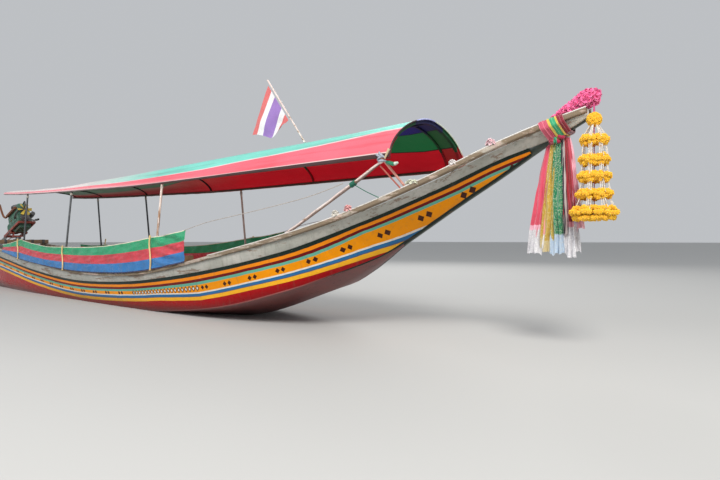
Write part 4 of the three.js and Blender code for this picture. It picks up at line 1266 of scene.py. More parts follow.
@dataclass
class Canopy:
    """Curved cover on hoops and edge poles, with its posts, braces and struts."""

    lines: HullLines
    half: float = 0.752
    power: float = 1.7
    cloth: float = 0.003
    rows: tuple[tuple[float, float, float], ...] = (
        (-5.48, 2.11, 0.115), (-4.6, 2.065, 0.13), (-2.8, 2.01, 0.175), (-1.2, 1.975, 0.255),
        (0.2, 1.942, 0.318), (1.6, 1.938, 0.362), (3.6, 1.938, 0.4), (5.225, 1.935, 0.455))
    hoops: tuple[float, ...] = (-5.3, -4.0, -2.05, 0.15, 2.7, 4.99, 5.19)
    sag: float = 0.009
    hem_drop: float = 0.028
    hem_faces: int = 2
    aft: float = -5.48
    fore: float = 5.225
    stations: int = 150
    around: int = 76
    girth_stations: int = 24
    post_paints: tuple[WeatheredPaint, ...] = (DARK_POST, DARK_POST, POLE_PAINT)
    brace_foot: tuple[float, float] = (3.66, 0.735)
    brace_head: Point = (5.12, 0.722, 1.878)
    lower_head: Point = (5.1, 0.722, 1.868)
    knot_back: float = 0.42
    strap_end: float = 4.965
    stick_end: float = 5.2
    rail_share: float = 0.98
    wrap_line: Rows = ((5.172, 1.892), (5.2, 1.94), (5.226, 1.984))
    knot_rolls: Rows = ((0.0, 0.0), (0.012, -0.03), (-0.018, 0.026), (0.02, 0.03))
    knot_reach: tuple[float, float] = (0.036, 0.03)
    roll_line: Rows = ((0.0, 0.0), (0.05, -0.012), (0.11, -0.03), (0.16, -0.02))

    def row(self, x: float) -> tuple[float, float]:
        """Edge height and crown rise at x, on a smooth curve."""
        rows = self.rows
        i = max(0, min(len(rows) - 2, sum(1 for r in rows if r[0] < x) - 1))
        before, a, b, after = rows[max(i - 1, 0)], rows[i], rows[i + 1], rows[min(i + 2, len(rows) - 1)]
        span = b[0] - a[0]
        t = (x - a[0]) / span
        found = []
        for k in (1, 2):
            slope_a = (b[k] - before[k]) / (b[0] - before[0]) * span
            slope_b = (after[k] - a[k]) / (after[0] - a[0]) * span
            found.append((2 * t ** 3 - 3 * t * t + 1) * a[k] + (t ** 3 - 2 * t * t + t) * slope_a
                         + (3 * t * t - 2 * t ** 3) * b[k] + (t ** 3 - t * t) * slope_b)
        return found[0], found[1]

    def slack(self, x: float) -> float:
        """0 on a hoop, 1 halfway between two."""
        for a, b in zip(self.hoops, self.hoops[1:]):
            if a <= x <= b:
                return sin(pi * (x - a) / (b - a)) * min(1.0, (b - a) / 1.2)
        return 0.0

    def point(self, u: float, v: float) -> Point:
        """Place on the cover's outside.

        Args:
            u: Share from its aft to its fore edge.
            v: Share of the way round from starboard to port, hems included.

        Returns:
            The place.
        """
        x = self.aft + (self.fore - self.aft) * u
        edge, rise = self.row(x)
        hem = self.hem_faces / self.around
        if v < hem or v > 1 - hem:
            side = -1 if v < 0.5 else 1
            share = 1 - min(v, 1 - v) / hem
            wave = 0.006 * noise.noise((x * 5.0, side * 3.0, 0.0))
            return (x, side * (self.half + 0.002), edge - share * (self.hem_drop + wave))
        angle = pi * (v - hem) / (1 - 2 * hem)
        across = cos(angle)
        y = -copysign(abs(across) ** (2 / self.power), across) * self.half
        z = edge + max(sin(angle), 0.0) ** (2 / self.power) * (rise + self.cloth)
        free = sin(2 * angle) ** 2
        ripple = noise.noise((x * 1.6, y * 3.2, 0.0)) * 0.006 + noise.noise((x * 6.5, y * 2.0, 4.0)) * 0.0025
        return (x, y, z - free * (self.slack(x) * self.sag - abs(ripple) * self.slack(x) * 0.6))

    def cover(self) -> Piece:
        """The painted canvas, one sheet with its hems turned down over the edge poles."""
        piece = Bench.sheet("canopy_canvas", self.stations, self.around, self.point, "arc")
        Bench.edit(piece, lambda: bpy.ops.mesh.normals_make_consistent(inside=False))
        if sum(f.normal.z for f in piece.data.polygons) < 0:
            Bench.edit(piece, lambda: bpy.ops.mesh.flip_normals())
        for finish in (CANVAS_OUT, CANVAS_IN):
            piece.data.materials.append(finish.make())
        Bench.smooth(Bench.thicken(piece, self.cloth, -1.0, material_offset=1), 60)
        dress(piece, CANVAS_OUT, "canopy_cloth", replaces=["canopy_cover"])
        return (piece, self.girth())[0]

    def girth(self) -> float:
        """Width of the cloth around the cover, taken as the mean of its stations."""
        total, count = 0.0, self.girth_stations
        for i in range(count):
            points = [Vector(self.point((i + 0.5) / count, k / self.around)) for k in range(self.around + 1)]
            total += sum((b - a).length for a, b in zip(points, points[1:]))
        return total / count

    def arc(self, place: Vector) -> float:
        """Share of the way round the cover nearest to a place."""
        edge, _ = self.row(min(max(place.x, self.aft), self.fore))
        across = min(1.0, abs(place.y) / self.half) ** (self.power / 2)
        share = asin(min(1.0, across)) / pi
        return 0.5 + copysign(share if place.z > edge + 0.02 else 0.5, place.y)

    def rim(self) -> Piece:
        """Bright edge along the front of the cover."""
        points = [Vector(self.point(1.0, k / self.around)) + Vector((0.004, 0.0, 0.0))
                  for k in range(self.hem_faces, self.around - self.hem_faces + 1)]
        piece = Bench.tube("front_rim", points, 0.0075, 8)
        Bench.mark(piece, "arc", self.arc)
        return dress(piece, RIM_PAINT, "pole_paint")

    def bar(self, name: str, points: Line, radii: float | Sequence[float], sides: int,
            finish: Finish, replaces: Sequence[str] = ()) -> Piece:
        """A pole, tape or cord.

        Args:
            name: Piece name.
            points: Its middle line.
            radii: Radius, or one for each point.
            sides: Faces around.
            finish: Its finish.
            replaces: Nodes it stands for.

        Returns:
            The piece.
        """
        return dress(Bench.tube(name, points, radii, sides), finish, "pole_paint", replaces=replaces)

    def rounded(self, node: str, name: str, finish: Finish, width: float, shade: float = 60) -> Piece:
        """A node's own shape with rounded ends, marked with its place round the cover."""
        piece = self.lines.own_shape(node, name, width, angle=60.0, shade=shade,
                                     first=lambda made: Bench.mark(made, "arc", self.arc))
        return dress(piece, finish, "pole_paint", replaces=[node])

    def lashing(self, name: str, middle: Vector, way: Vector, radius: float, turned: int, finish: Finish,
                cord: float) -> Piece:
        """Cord wound round a pole.

        Args:
            name: Piece name.
            middle: Middle of the lashing, on the pole's own.
            way: The pole's direction.
            radius: The pole's radius.
            turned: Turns of the cord.
            finish: The cord's finish.
            cord: The cord's radius.

        Returns:
            The piece.
        """
        side = way.cross(Vector((0.3, 1, 0.2))).normalized()
        up, count = side.cross(way), turned * 12
        points = [middle + way * (i / count - 0.5) * turned * cord * 2.1
                  + (side * cos(a) + up * sin(a)) * (radius + cord * 0.8)
                  for i, a in ((i, 2 * pi * i / 12) for i in range(count + 1))]
        return self.bar(name, points, cord, 6, finish)

    def place(self, spot: Point, sign: int) -> Vector:
        """A place that is given for port, on either side."""
        return Vector((spot[0], sign * spot[1], spot[2]))

    def braces(self, name: str, sign: int) -> None:
        """Both poles of a brace from the rail to the cover's front foot, and what is tied to them.

        Args:
            name: Name of the side.
            sign: 1 to port, -1 to starboard.
        """
        x, y = self.brace_foot
        rail = table(self.lines.rail, x)
        foot, head = self.place((x, y, rail + 0.004), sign), self.place(self.brace_head, sign)
        line = [foot.lerp(head, k / 12) + Vector((0, 0.0, 0.004 * sin(k * 1.9))) for k in range(13)]
        radii = [0.0105 + 0.003 * k / 12 + 0.0012 * (k % 4 == 1) for k in range(13)]
        self.bar(f"bow_brace_{name}", line, radii, 12, BRACE_PAINT, [f"brace_{name}"])

        foot, head = self.place((x, y, rail + 0.012), sign), self.place(self.lower_head, sign)
        along, drop = (head - foot).normalized(), Vector((0.35, 0.0, -0.94)) * 0.026
        line = [foot + along * 0.06 + drop, head - along * 0.3 + drop * 0.9, head + drop * 0.2]
        self.bar(f"lower_brace_{name}", line, 0.0085, 10, BRACE_DARK)

        knot = head - along * self.knot_back
        self.lashing(f"green_lashing_{name}", knot + drop * 0.4, along, 0.021, 7, GREEN_CORD, 0.005)
        ends = []
        for at, up in ((self.strap_end, 0.006), (self.stick_end, 0.012)):
            end = self.lines.on_rail(at, sign, up=up)
            ends.append(Vector((end.x, end.y * self.rail_share, end.z)))
        strap = [knot + Vector((0.02, 0, -0.02)), knot.lerp(ends[0], 0.5) + Vector((0, 0, -0.012)), ends[0]]
        self.bar(f"green_strap_{name}", Bench.curve(strap, 6), 0.005, 6, GREEN_CORD)
        strip = [(at, sign * 0.757, z) for at, z in self.wrap_line]
        self.bar(f"foot_wrap_{name}", strip, (0.009, 0.013, 0.015), 10, CREAM_CLOTH)
        self.bar(f"red_stick_{name}", [head + Vector((-0.012, 0.0, -0.04)), ends[1]], 0.009, 8, RED_STICK)
        self.knot(name, head + Vector((0.012, sign * 0.018, 0.035)))
        self.rolled_cloth(name, head + Vector((0.03, sign * -0.02, 0.0)))

    def knot(self, name: str, middle: Vector) -> Piece:
        """Grey cloth knotted round the head of the braces.

        Args:
            name: Name of the side.
            middle: Middle of the knot.

        Returns:
            The piece.
        """
        rolls = []
        long, high = self.knot_reach
        for k, (dx, dz) in enumerate(self.knot_rolls):
            tilt = sin(0.5 - 0.5 * k)
            ring = [middle + Vector((dx + long * cos(a), high * sin(a), dz + long * cos(a) * tilt))
                    for a in turns(18)]
            rolls.append(Bench.tube("roll", [*ring, ring[0]], [0.011 + 0.002 * sin(i) for i in range(19)], 8))
        return dress(Bench.join(f"pole_knot_{name}", rolls), GREY_CLOTH, "pole_paint")

    def rolled_cloth(self, name: str, start: Vector) -> Piece:
        """Short roll of green cloth that lies over the knot.

        Args:
            name: Name of the side.
            start: Its aft end.

        Returns:
            The piece.
        """
        line = Bench.curve([start + Vector((along, 0, up)) for along, up in self.roll_line], 5)
        sizes = [0.012 + 0.014 * sin(pi * i / (len(line) - 1)) ** 0.6 + 0.002 * sin(i * 2.2)
                 for i in range(len(line))]
        roll = Bench.tube(f"rolled_cloth_{name}", line, sizes, 12, 0.8)
        Bench.mark(roll, "down", lambda p: (p.x - start.x) / self.roll_line[-1][0])
        dress(roll, ROLLED_CLOTH, "pole_paint")
        return roll

    def build(self) -> None:
        """Builds cover, frame and lashings."""
        self.cover()
        self.rounded("canopy_ribs", "hoops", HOOP_PAINT, 0.004, 40)
        self.rounded("front_arch", "front_hoop", HOOP_PAINT, 0.005, 40)
        self.rim()
        for name, sign in SIDES.items():
            self.braces(name, sign)
            self.rounded(f"edge_pole_{name}", f"eave_{name}", EAVE_PAINT, 0.003)
            self.rounded(f"strut_{name}", f"pink_strut_{name}", STRUT_PAINT, 0.004)
            for number, paint in enumerate(self.post_paints, 1):
                node = f"post_{name}_{number}"
                self.rounded(node, f"upright_{name}_{number}", paint, 0.003)
                low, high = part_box(node)
                aside = sign * (min(abs(low.y), abs(high.y)) + 0.021)
                head = Vector(((low.x + high.x) / 2, aside, high.z - 0.045))
                self.lashing(f"post_lashing_{name}_{number}", head, Vector(UP), 0.0175, 6, PALE_CORD, 0.003)


@dataclass
class Curtains:
    """Rolled-out side curtains in three bands, hung between posts above the rail."""

    lines: HullLines
    top: Rows = (
        (-5.29, 0.12), (-4.79, 0.205), (-4.09, 0.359), (-3.75, 0.345), (-3.46, 0.338), (-2.75, 0.34),
        (-1.95, 0.39), (-1.18, 0.415), (-0.36, 0.44), (0.1, 0.462), (0.6, 0.474), (1.04, 0.476),
        (1.3, 0.455), (1.76, 0.436), (1.89, 0.434))
    foot: Rows = (
        (-5.29, -0.04), (-4.0, -0.05), (-2.0, -0.014), (-0.36, 0.002), (1.06, 0.002), (1.89, -0.004))
    aft: float = -5.29
    fore: float = 1.88
    cut: tuple[float, float] = (0.47, 1.03)
    off: float = 0.024
    slack_until: float = -2.4
    slack_drop: float = 0.12
    battens: tuple[float, ...] = (-4.19, -1.94, 1.04)
    along: int = 190
    across: int = 26
    line: tuple[Point, ...] = (
        (1.86, 0.905, 1.21), (2.12, 0.885, 1.268), (2.43, 0.866, 1.325), (3.31, 0.82, 1.44),
        (4.1, 0.775, 1.56), (4.6, 0.742, 1.68))

    def point(self, sign: int, u: float, v: float) -> Point:
        """Place on one curtain.

        Args:
            sign: 1 to port, -1 to starboard.
            u: Share of the way forward.
            v: Share of the way down.

        Returns:
            The place.
        """
        x = self.aft + (self.fore - self.aft) * u
        rail = table(self.lines.rail, x)
        high, low = rail + table(self.top, x), rail + table(self.foot, x)
        if sign > 0 and x < self.slack_until:
            high -= self.slack_drop * sin(pi * (x - self.aft) / (self.slack_until - self.aft))
        near = min(abs(x - b) for b in self.battens)
        billow = min(near / 0.8, 1.0) * sin(pi * min(v, 0.97))
        swell = 0.016 * billow * (0.6 + noise.noise((x * 1.4, v * 2.0, sign)))
        post, pull = self.battens[-1], 0.0
        if x > post:
            reach = (x - post) / (self.fore - post)
            pull = 0.018 * sin(2 * pi * (v - reach * 0.45) * 3.2) * sin(pi * reach)
        fold = 0.013 * noise.noise((x * 7.0, v * 5.0, 2.0 + sign)) + 0.004 * sin(x * 16.0 + v * 5.0) * (1 - v)
        crease = (abs(noise.noise((x * 3.0 + v * 4.0, v * 7.0, 9.0 + sign))) - 0.2) * 0.03
        fold += crease * sin(pi * min(v * 1.1, 1.0))
        y = table(self.lines.rail_out, x) + self.off * v - 0.002 + swell + pull + fold
        return (x + 0.012 * v * u, sign * y, high + (low - high) * v)

    def flat_area(self, sign: int) -> float:
        """Area of the cloth before it is hung, from its own grid."""
        total = 0.0
        for i in range(self.along):
            for j in range(self.across):
                a, b, c, d = (Vector(self.point(sign, (i + k) / self.along, (j + m) / self.across))
                              for k, m in ((0, 0), (1, 0), (1, 1), (0, 1)))
                total += ((b - a).cross(c - a).length + (c - a).cross(d - a).length) / 2
        return total

    def curtain(self, name: str, sign: int) -> Piece:
        """One curtain, a thickened sheet that hangs over the rail."""
        piece = Bench.sheet(f"striped_curtain_{name}", self.along, self.across,
                            lambda u, v: self.point(sign, u, v), "down")
        Bench.smooth(Bench.thicken(piece, 0.002), 60)
        dress(piece, CURTAIN_BANDS, "curtain_cloth", replaces=[f"curtain_{name}"])
        width, spare = self.cut
        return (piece, self.flat_area(sign))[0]

    def batten(self, name: str, sign: int, number: int, x: float) -> Piece:
        """Upright bamboo batten outside a curtain.

        Args:
            name: Name of the side.
            sign: 1 to port, -1 to starboard.
            number: Number of the batten, from 1.
            x: Its station.

        Returns:
            The piece.
        """
        foot, high = table(self.foot, x) - 0.01, table(self.top, x) - table(self.foot, x) + 0.03
        points = Bench.curve([self.lines.on_rail(x, sign, -0.03 - 0.004 * sin(k * 2.1), foot + k / 4 * high)
                              + Vector((0.02 * sin(k * 1.7), 0, 0)) for k in range(5)], 4)
        radii = [0.0125 + 0.002 * (i % 5 == 0) for i in range(len(points))]
        return dress(Bench.tube(f"curtain_batten_{name}_{number}", points, radii, 8), BAMBOO, "pole_paint")

    def build(self) -> None:
        """Builds both curtains, their battens and the taut lines from their front corners to the braces."""
        for name, sign in SIDES.items():
            self.curtain(name, sign)
            line = Bench.curve([(x, sign * y, z) for x, y, z in self.line], 5)
            dress(Bench.tube(f"curtain_line_{name}", line, 0.0045, 6), LINE_CORD, "pole_paint")
            for number, x in enumerate(self.battens, 1):
                self.batten(name, sign, number, x)


@dataclass
class Flag:
    """Plain striped flag, drooping from its leaning pole."""

    lines: HullLines
    hoist: tuple[Point, Point] = ((2.765, -0.2, 3.16), (3.165, -0.2, 2.642))
    fly: tuple[Point, Point] = ((2.455, -0.2, 2.53), (3.03, -0.2, 2.575))
    cut: tuple[float, float] = (0.65, 0.72)
    droop: float = 0.11
    fold: float = 0.02

    def point(self, u: float, v: float) -> Point:
        """Place by its shares from hoist to fly and down."""
        top, low = (Vector(a).lerp(Vector(b), u) for a, b in zip(self.hoist, self.fly))
        place = top.lerp(low, v)
        place.z -= self.droop * u * sin(pi * v ** 1.9)
        place.x -= 0.025 * sin(pi * u) * (1 - v)
        swing = sin(4.0 * u + 8.0 * v) * self.fold * u + 0.014 * u * noise.noise((u * 4, v * 5, 1.0))
        return (place.x, place.y + swing, place.z)

    def build(self) -> None:
        """Builds pole and flag."""
        pole = self.lines.own_shape("flag_pole", "flag_staff", 0.003, angle=60.0, shade=60)
        dress(pole, BRACE_PAINT, "pole_paint", replaces=["flag_pole"])
        piece = Bench.sheet("striped_flag", 36, 30, self.point, "down")
        area = Bench.area(piece)
        Bench.smooth(Bench.thicken(piece, 0.0015), 60)
        dress(piece, FLAG_BANDS, "flag_cloth", replaces=["flag"])


# --- Bow dress --------------------------------------------------------------------------------

WHITE = (0.88, 0.87, 0.88)
LILAC = (0.6, 0.55, 0.78)
PALE_BLUE = (0.5, 0.66, 0.82)
KNOT_CLOTH = BandedCloth(
    "knot_cloth", ((0.35, (0.03, 0.34, 0.18)), (0.55, (0.4, 0.01, 0.06))), (0.4, 0.03, 0.07), rough=0.4,
    threads=600.0)
GOLD_PETALS = Petals("marigold_petals", (0.85, 0.42, 0.0), (1.0, 0.78, 0.01), 0.7)
PINK_PETALS = Petals("pink_petals", (0.6, 0.0, 0.14), (0.95, 0.2, 0.44))
GARLAND_CORD = Twine("garland_cord", (0.7, 0.12, 0.3), (0.4, 0.03, 0.12))
BEAD_GLOSS = Moulded("bead_gloss", (0.82, 0.79, 0.74), 0.25, 0.1)


@dataclass(frozen=True)
class Sash:
    """One hanging sash: where it starts and ends across, how low it hangs, and its cloth."""

    name: str
    top: tuple[float, float]
    foot: tuple[float, float]
    high: float
    low: float
    off: float
    main: Colour
    lace: Colour = WHITE
    lace_from: float = 0.78
    sparkle: float = 0.0
    pleats: float = 3.0
    edge: Colour | None = None

    def cloth(self) -> BandedCloth:
        """Its finish: main colour, then a lace hem."""
        bands = [(self.lace_from, self.lace)] if self.lace_from < 1 else []
        if self.edge:
            bands.insert(0, (self.lace_from - 0.045, self.edge))
        return BandedCloth(f"{self.name}_cloth", tuple(bands), self.main, soil_share=0.25, rough=0.36,
                           sparkle=self.sparkle, lace=self.lace_from, threads=600.0, sheen=0.5)


@dataclass
class BowDress:
    """Sashes, flower garlands and bead strings tied to the bow."""

    lines: HullLines
    wraps: tuple[tuple[str, float, float, Colour, float], ...] = (
        ("magenta_wrap", 6.525, 6.6, (0.55, 0.08, 0.14), 0.011),
        ("yellow_wrap", 6.597, 6.617, (0.7, 0.5, 0.06), 0.013),
        ("green_wrap", 6.614, 6.662, (0.03, 0.36, 0.16), 0.012),
        ("gold_wrap", 6.66, 6.676, (0.7, 0.5, 0.06), 0.013),
        ("red_wrap", 6.673, 6.725, (0.22, 0.004, 0.02), 0.012),
    )
    sashes: tuple[Sash, ...] = (
        Sash("pink_sash", (6.53, 6.585), (6.33, 6.47), 1.975, 0.95, 0.0, (0.66, 0.08, 0.14), pleats=2.5,
             edge=(0.85, 0.5, 0.6)),
        Sash("rose_sash", (6.56, 6.6), (6.4, 6.52), 1.985, 0.975, 0.016, (0.76, 0.3, 0.34), lace_from=0.86,
             pleats=2.0),
        Sash("yellow_sash", (6.572, 6.625), (6.46, 6.6), 1.985, 0.985, -0.012, (0.46, 0.3, 0.02),
             (0.7, 0.55, 0.2), 0.9, 0.8, 2.3),
        Sash("green_sash", (6.605, 6.675), (6.565, 6.7), 2.0, 0.95, -0.02, (0.004, 0.19, 0.08),
             PALE_BLUE, 0.83, 1.0, 2.4),
        Sash("dark_sash", (6.662, 6.685), (6.69, 6.715), 2.01, 1.14, -0.018, (0.03, 0.012, 0.03),
             lace_from=2.0, pleats=1.0),
        Sash("thin_sash", (6.68, 6.695), (6.704, 6.726), 2.015, 1.12, -0.02, (0.5, 0.44, 0.44), lace_from=2.0,
             pleats=1.0),
        Sash("crimson_sash", (6.67, 6.715), (6.695, 6.805), 2.02, 0.935, -0.008, (0.3, 0.01, 0.02),
             WHITE, 0.75, pleats=1.9, edge=(0.7, 0.3, 0.36)),
        Sash("blush_sash", (6.7, 6.735), (6.765, 6.84), 2.025, 0.96, 0.004, (0.5, 0.06, 0.1), WHITE, 0.76,
             pleats=1.6, edge=LILAC),
        Sash("pale_sash", (6.71, 6.738), (6.79, 6.87), 2.03, 1.16, 0.014, (0.82, 0.45, 0.55), lace_from=2.0,
             pleats=1.5),
    )
    lean: float = 0.3
    under: Rows = ((6.5, 1.945), (6.905, 2.16))
    stem_half: float = 0.048
    cap_depth: float = 0.045
    knot_rolls: tuple[Point, ...] = ((6.6, 2.0, 0.4), (6.635, 2.012, -0.5), (6.675, 2.03, 0.3))
    tiers: tuple[Point, ...] = (
        (1.972, 0.131, 0.045), (1.798, 0.14, 0.049), (1.646, 0.15, 0.046), (1.491, 0.164, 0.044),
        (1.325, 0.212, 0.063))
    ball: tuple[float, float] = (2.146, 0.07)
    ball_heads: int = 44
    string_x: float = 6.9738
    string_y: float = -0.062
    garland: tuple[Point, ...] = (
        (6.6, 0.045, 0.034), (6.66, 0.056, 0.046), (6.73, 0.066, 0.056), (6.79, 0.076, 0.062),
        (6.85, 0.088, 0.074), (6.905, 0.096, 0.082), (6.95, 0.1, 0.072), (6.965, 0.102, 0.05))
    old_garlands: tuple[tuple[float, float, float, Colour, Colour], ...] = (
        (4.42, 0.035, 0.05, (0.45, 0.42, 0.36), (0.8, 0.78, 0.72)),
        (4.58, 0.045, 0.055, (0.6, 0.2, 0.2), (0.85, 0.5, 0.5)),
        (5.32, 0.07, 0.03, (0.45, 0.45, 0.34), (0.75, 0.78, 0.62)),
        (5.74, 0.03, 0.03, (0.6, 0.55, 0.52), (0.88, 0.85, 0.85)),
        (6.1, 0.045, 0.05, (0.6, 0.3, 0.34), (0.88, 0.68, 0.72)))
    marigold_size: float = 0.025
    pink_size: float = 0.044
    bead: float = 0.0062
    bead_groups: int = 7
    golden_turn: float = 2.39996
    seed: int = 7

    def on_outline(self, x: float, out: float, v: float) -> tuple[float, float]:
        """Point of the bow's section, grown outward.

        Args:
            x: Station.
            out: How far the section is grown.
            v: Share of the way round it.

        Returns:
            The point (y, z).
        """
        rail, half = table(self.lines.rail, x), self.stem_half + out
        cap_y, cap_z, top = table(self.lines.rail_out, x) + out, rail - self.cap_depth - out, rail + out
        low_z = table(self.under, x) - out
        corners = [(-half, low_z), (half, low_z), (cap_y, cap_z), (cap_y, top), (-cap_y, top),
                   (-cap_y, cap_z)]
        sides = list(zip(corners, corners[1:] + corners[:1]))
        rest = (v % 1.0) * sum(dist(a, b) for a, b in sides)
        for a, b in sides:
            length = dist(a, b)
            if rest <= length:
                t = rest / length
                return (a[0] + (b[0] - a[0]) * t, a[1] + (b[1] - a[1]) * t)
            rest -= length
        return corners[0]

    def wrap(self, name: str, aft: float, fore: float, colour: Colour, out: float) -> Piece:
        """A folded sash wound round the bow, square to its rise.

        Args:
            name: Piece name.
            aft: Station of its aft edge.
            fore: Station of its fore edge.
            colour: Colour in its folds; a lighter copy of it is painted on its edges and middle as painted
                highlight.
            out: How far it lies outside the wood.

        Returns:
            The piece.
        """
        def point(u: float, v: float) -> Point:
            """Place by the shares across and round."""
            fold = 0.004 * sin(u * pi) + 0.003 * sin(u * 22.0 + 3 * sin(v * 9.0)) * (0.3 + u)
            x = aft + (fore - aft) * u
            _, z = self.on_outline(x, out + fold, v)
            x += self.lean * (table(self.lines.rail, x) - z)
            return (x, *self.on_outline(x, out + fold, v))
        piece = Bench.weld(Bench.sheet(name, max(6, int((fore - aft) / 0.006)), 72, point, "down", 0))
        length = Bench.area(piece) / (fore - aft)
        Bench.smooth(Bench.thicken(piece, 0.003, -1.0), 50)
        # Painted highlight: a lighter copy of the colour on the wrap's edges and along its middle fold.
        light = tuple(min(1.0, c * 1.3 + 0.12) for c in colour)
        bands = ((0.06, colour), (0.45, light), (0.52, colour), (0.94, light))
        dress(piece, BandedCloth(f"{name}_cloth", bands, light, soil_share=0.2, rough=0.36, threads=600.0,
                                 sheen=0.5), "sash_cloth")
        return piece

    def hanging(self, sash: Sash) -> Piece:
        """A pleated sash that hangs from the knot and flares to its hem.

        Args:
            sash: Its sizes and cloth.

        Returns:
            The piece.
        """
        def point(u: float, v: float) -> Point:
            """Place by the shares across and down."""
            spread, (t0, t1), (f0, f1) = v ** 0.75, sash.top, sash.foot
            x = (t0 + (t1 - t0) * u) * (1 - spread) + (f0 + (f1 - f0) * u) * spread
            drift = 1.6 * noise.noise((v * 2.2, sash.off * 90, u * 1.2))
            drift += 0.6 * noise.noise((v * 6.0, u * 2, 5.0))
            pleat = sin(u * 2 * pi * sash.pleats + 2.2 * drift) + 0.4 * noise.noise((u * 9, v * 7, 1.0))
            y = self.string_y * 0.2 + sash.off + pleat * (0.006 + 0.013 * v)
            hem = 0.008 * abs(sin(u * pi * 9)) + 0.05 * noise.noise((u * 2.5, sash.off * 50, 2.0))
            z = sash.high + (sash.low + hem * v - sash.high) * v
            return (x + 0.004 * noise.noise((v * 6, u * 4, sash.off * 30)), y, z)
        piece = Bench.sheet(sash.name, max(12, int(sash.pleats * 14)), 48, point, "down")
        area = Bench.area(piece)
        Bench.smooth(Bench.thicken(piece, 0.0015), 60)
        dress(piece, sash.cloth(), "sash_cloth")
        length = (sash.high - sash.low) * 1.03
        return (piece, area / length * 1.02)[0]

    def knot(self) -> Piece:
        """The knot under the stem, of twisted cloth."""
        rolls = []
        for x, z, turn in self.knot_rolls:
            ring = [(x + 0.03 * cos(a) * cos(turn), -0.03 + 0.045 * sin(a),
                     z + 0.03 * cos(a) * sin(turn) + 0.014 * sin(2 * a)) for a in turns(20)]
            rolls.append(Bench.tube("roll", ring, [0.017 + 0.004 * sin(i * 1.9) for i in range(20)], 9))
        piece = Bench.join("sash_knot", rolls)
        Bench.mark(piece, "down", lambda p: (p.x - 6.56) / 0.16)
        dress(piece, KNOT_CLOTH, "sash_cloth", replaces=["sashes"])
        return piece

    @staticmethod
    def ball_flower(name: str) -> Piece:
        """A ball of short pointed petals, 1 in radius."""
        piece = Bench.start(name, bpy.ops.mesh.primitive_ico_sphere_add, subdivisions=1, radius=0.82)
        Bench.edit(piece, lambda: bpy.ops.mesh.poke(offset=0.42))
        Bench.mark(piece, "tip", lambda p: max(0.0, (p.length - 0.8) / 0.45))
        return piece

    @staticmethod
    def open_flower(name: str) -> Piece:
        """A ruffled flower, 1 in radius, closed below."""
        def point(u: float, v: float) -> Point:
            """Place by the shares over the flower and round it."""
            a, r = 2 * pi * v, 1 - abs(2 * u - 1)
            lift = 0.5 * r ** 0.6 + 0.2 * r * sin(a * 5) if u <= 0.5 else -0.25 * (1 - r)
            if r > 0.99:
                lift = 0.5 + 0.2 * sin(a * 5)
            reach = r * (1 + 0.12 * cos(a * 5))
            return (reach * cos(a), reach * sin(a), lift)
        piece = Bench.weld(Bench.sheet(name, 4, 15, point))
        Bench.mark(piece, "tip", lambda p: min(1.0, hypot(p.x, p.y)))
        return piece

    def by_string(self, reach: float, angle: float, z: float) -> Vector:
        """A place beside the marigolds' string."""
        return Vector((self.string_x + reach * cos(angle), self.string_y + reach * sin(angle), z))

    def marigolds(self) -> Piece:
        """Tiers of marigold heads on their string, with a ball at the top."""
        draw, size, places = random.Random(self.seed), self.marigold_size, []
        for z, r, half in self.tiers:
            for layer in (-1, 0, 1):
                reach = (r - size * 0.9) * (1.0 if layer == 0 else 0.86)
                for ring in (1.0, 0.62, 0.3):
                    count = max(4, round(2 * pi * reach * ring / (size * 1.35)))
                    for k in range(count):
                        a = 2 * pi * (k + 0.5 * (layer % 2)) / count + draw.uniform(-0.08, 0.08)
                        droop = draw.uniform(-0.5, 0.3) * size - (0.4 * size if layer < 0 else 0)
                        middle = self.by_string(reach * ring, a, z + layer * (half - size) * 0.9 + droop)
                        way = Vector((cos(a) * ring, sin(a) * ring, 0.5 * layer + 0.1))
                        places.append((middle, way, size * draw.uniform(0.85, 1.15)))
        top_z, top_r = self.ball
        for k in range(self.ball_heads):
            up, a = 1 - 2 * (k + 0.5) / self.ball_heads, k * self.golden_turn
            wide = sqrt(1 - up ** 2)
            way = Vector((cos(a) * wide, sin(a) * wide, up))
            places.append((Vector((self.string_x, self.string_y, top_z)) + way * (top_r - 0.02), way, 0.021))
        heads = Bench.scatter("marigold_heads", self.ball_flower("marigold"), places, draw)
        return dress(Bench.smooth(heads, 20), GOLD_PETALS, "marigolds", replaces=["marigold_garland"])

    def pink_flowers(self) -> Piece:
        """Cloth flowers heaped along the top of the bow and over its end."""
        draw, places = random.Random(self.seed + 1), []
        for (x0, o0, r0), (x1, o1, r1) in zip(self.garland, self.garland[1:]):
            steps = max(1, round((x1 - x0) / 0.03))
            for k in range(steps):
                t = k / steps
                x, over, r = x0 + (x1 - x0) * t, o0 + (o1 - o0) * t, r0 + (r1 - r0) * t
                centre = Vector((x, 0, table(self.lines.rail, x) + over))
                count = max(4, round(2 * pi * r / 0.044))
                for j in range(count):
                    a = 2 * pi * (j + draw.random() * 0.5) / count
                    way = Vector((draw.uniform(-0.5, 0.3), cos(a), sin(a)))
                    size = self.pink_size * (0.5 + 0.5 * min(1.0, r / 0.07)) * draw.uniform(0.85, 1.15)
                    places.append((centre + way.normalized() * max(r - size * 0.6, 0.004), way, size))
        x, over, r = self.garland[-1]
        for a in (k * 2.4 for k in range(9)):
            middle = Vector((x + 0.012, r * 0.5 * cos(a),
                             table(self.lines.rail, x) + over + r * 0.5 * sin(a)))
            places.append((middle, Vector((1, cos(a), sin(a))), 0.028))
        heads = Bench.scatter("pink_heads", self.open_flower("pink_flower"), places, draw)
        return dress(Bench.smooth(heads, 60), PINK_PETALS, "pink_flowers", replaces=["pink_garland"])

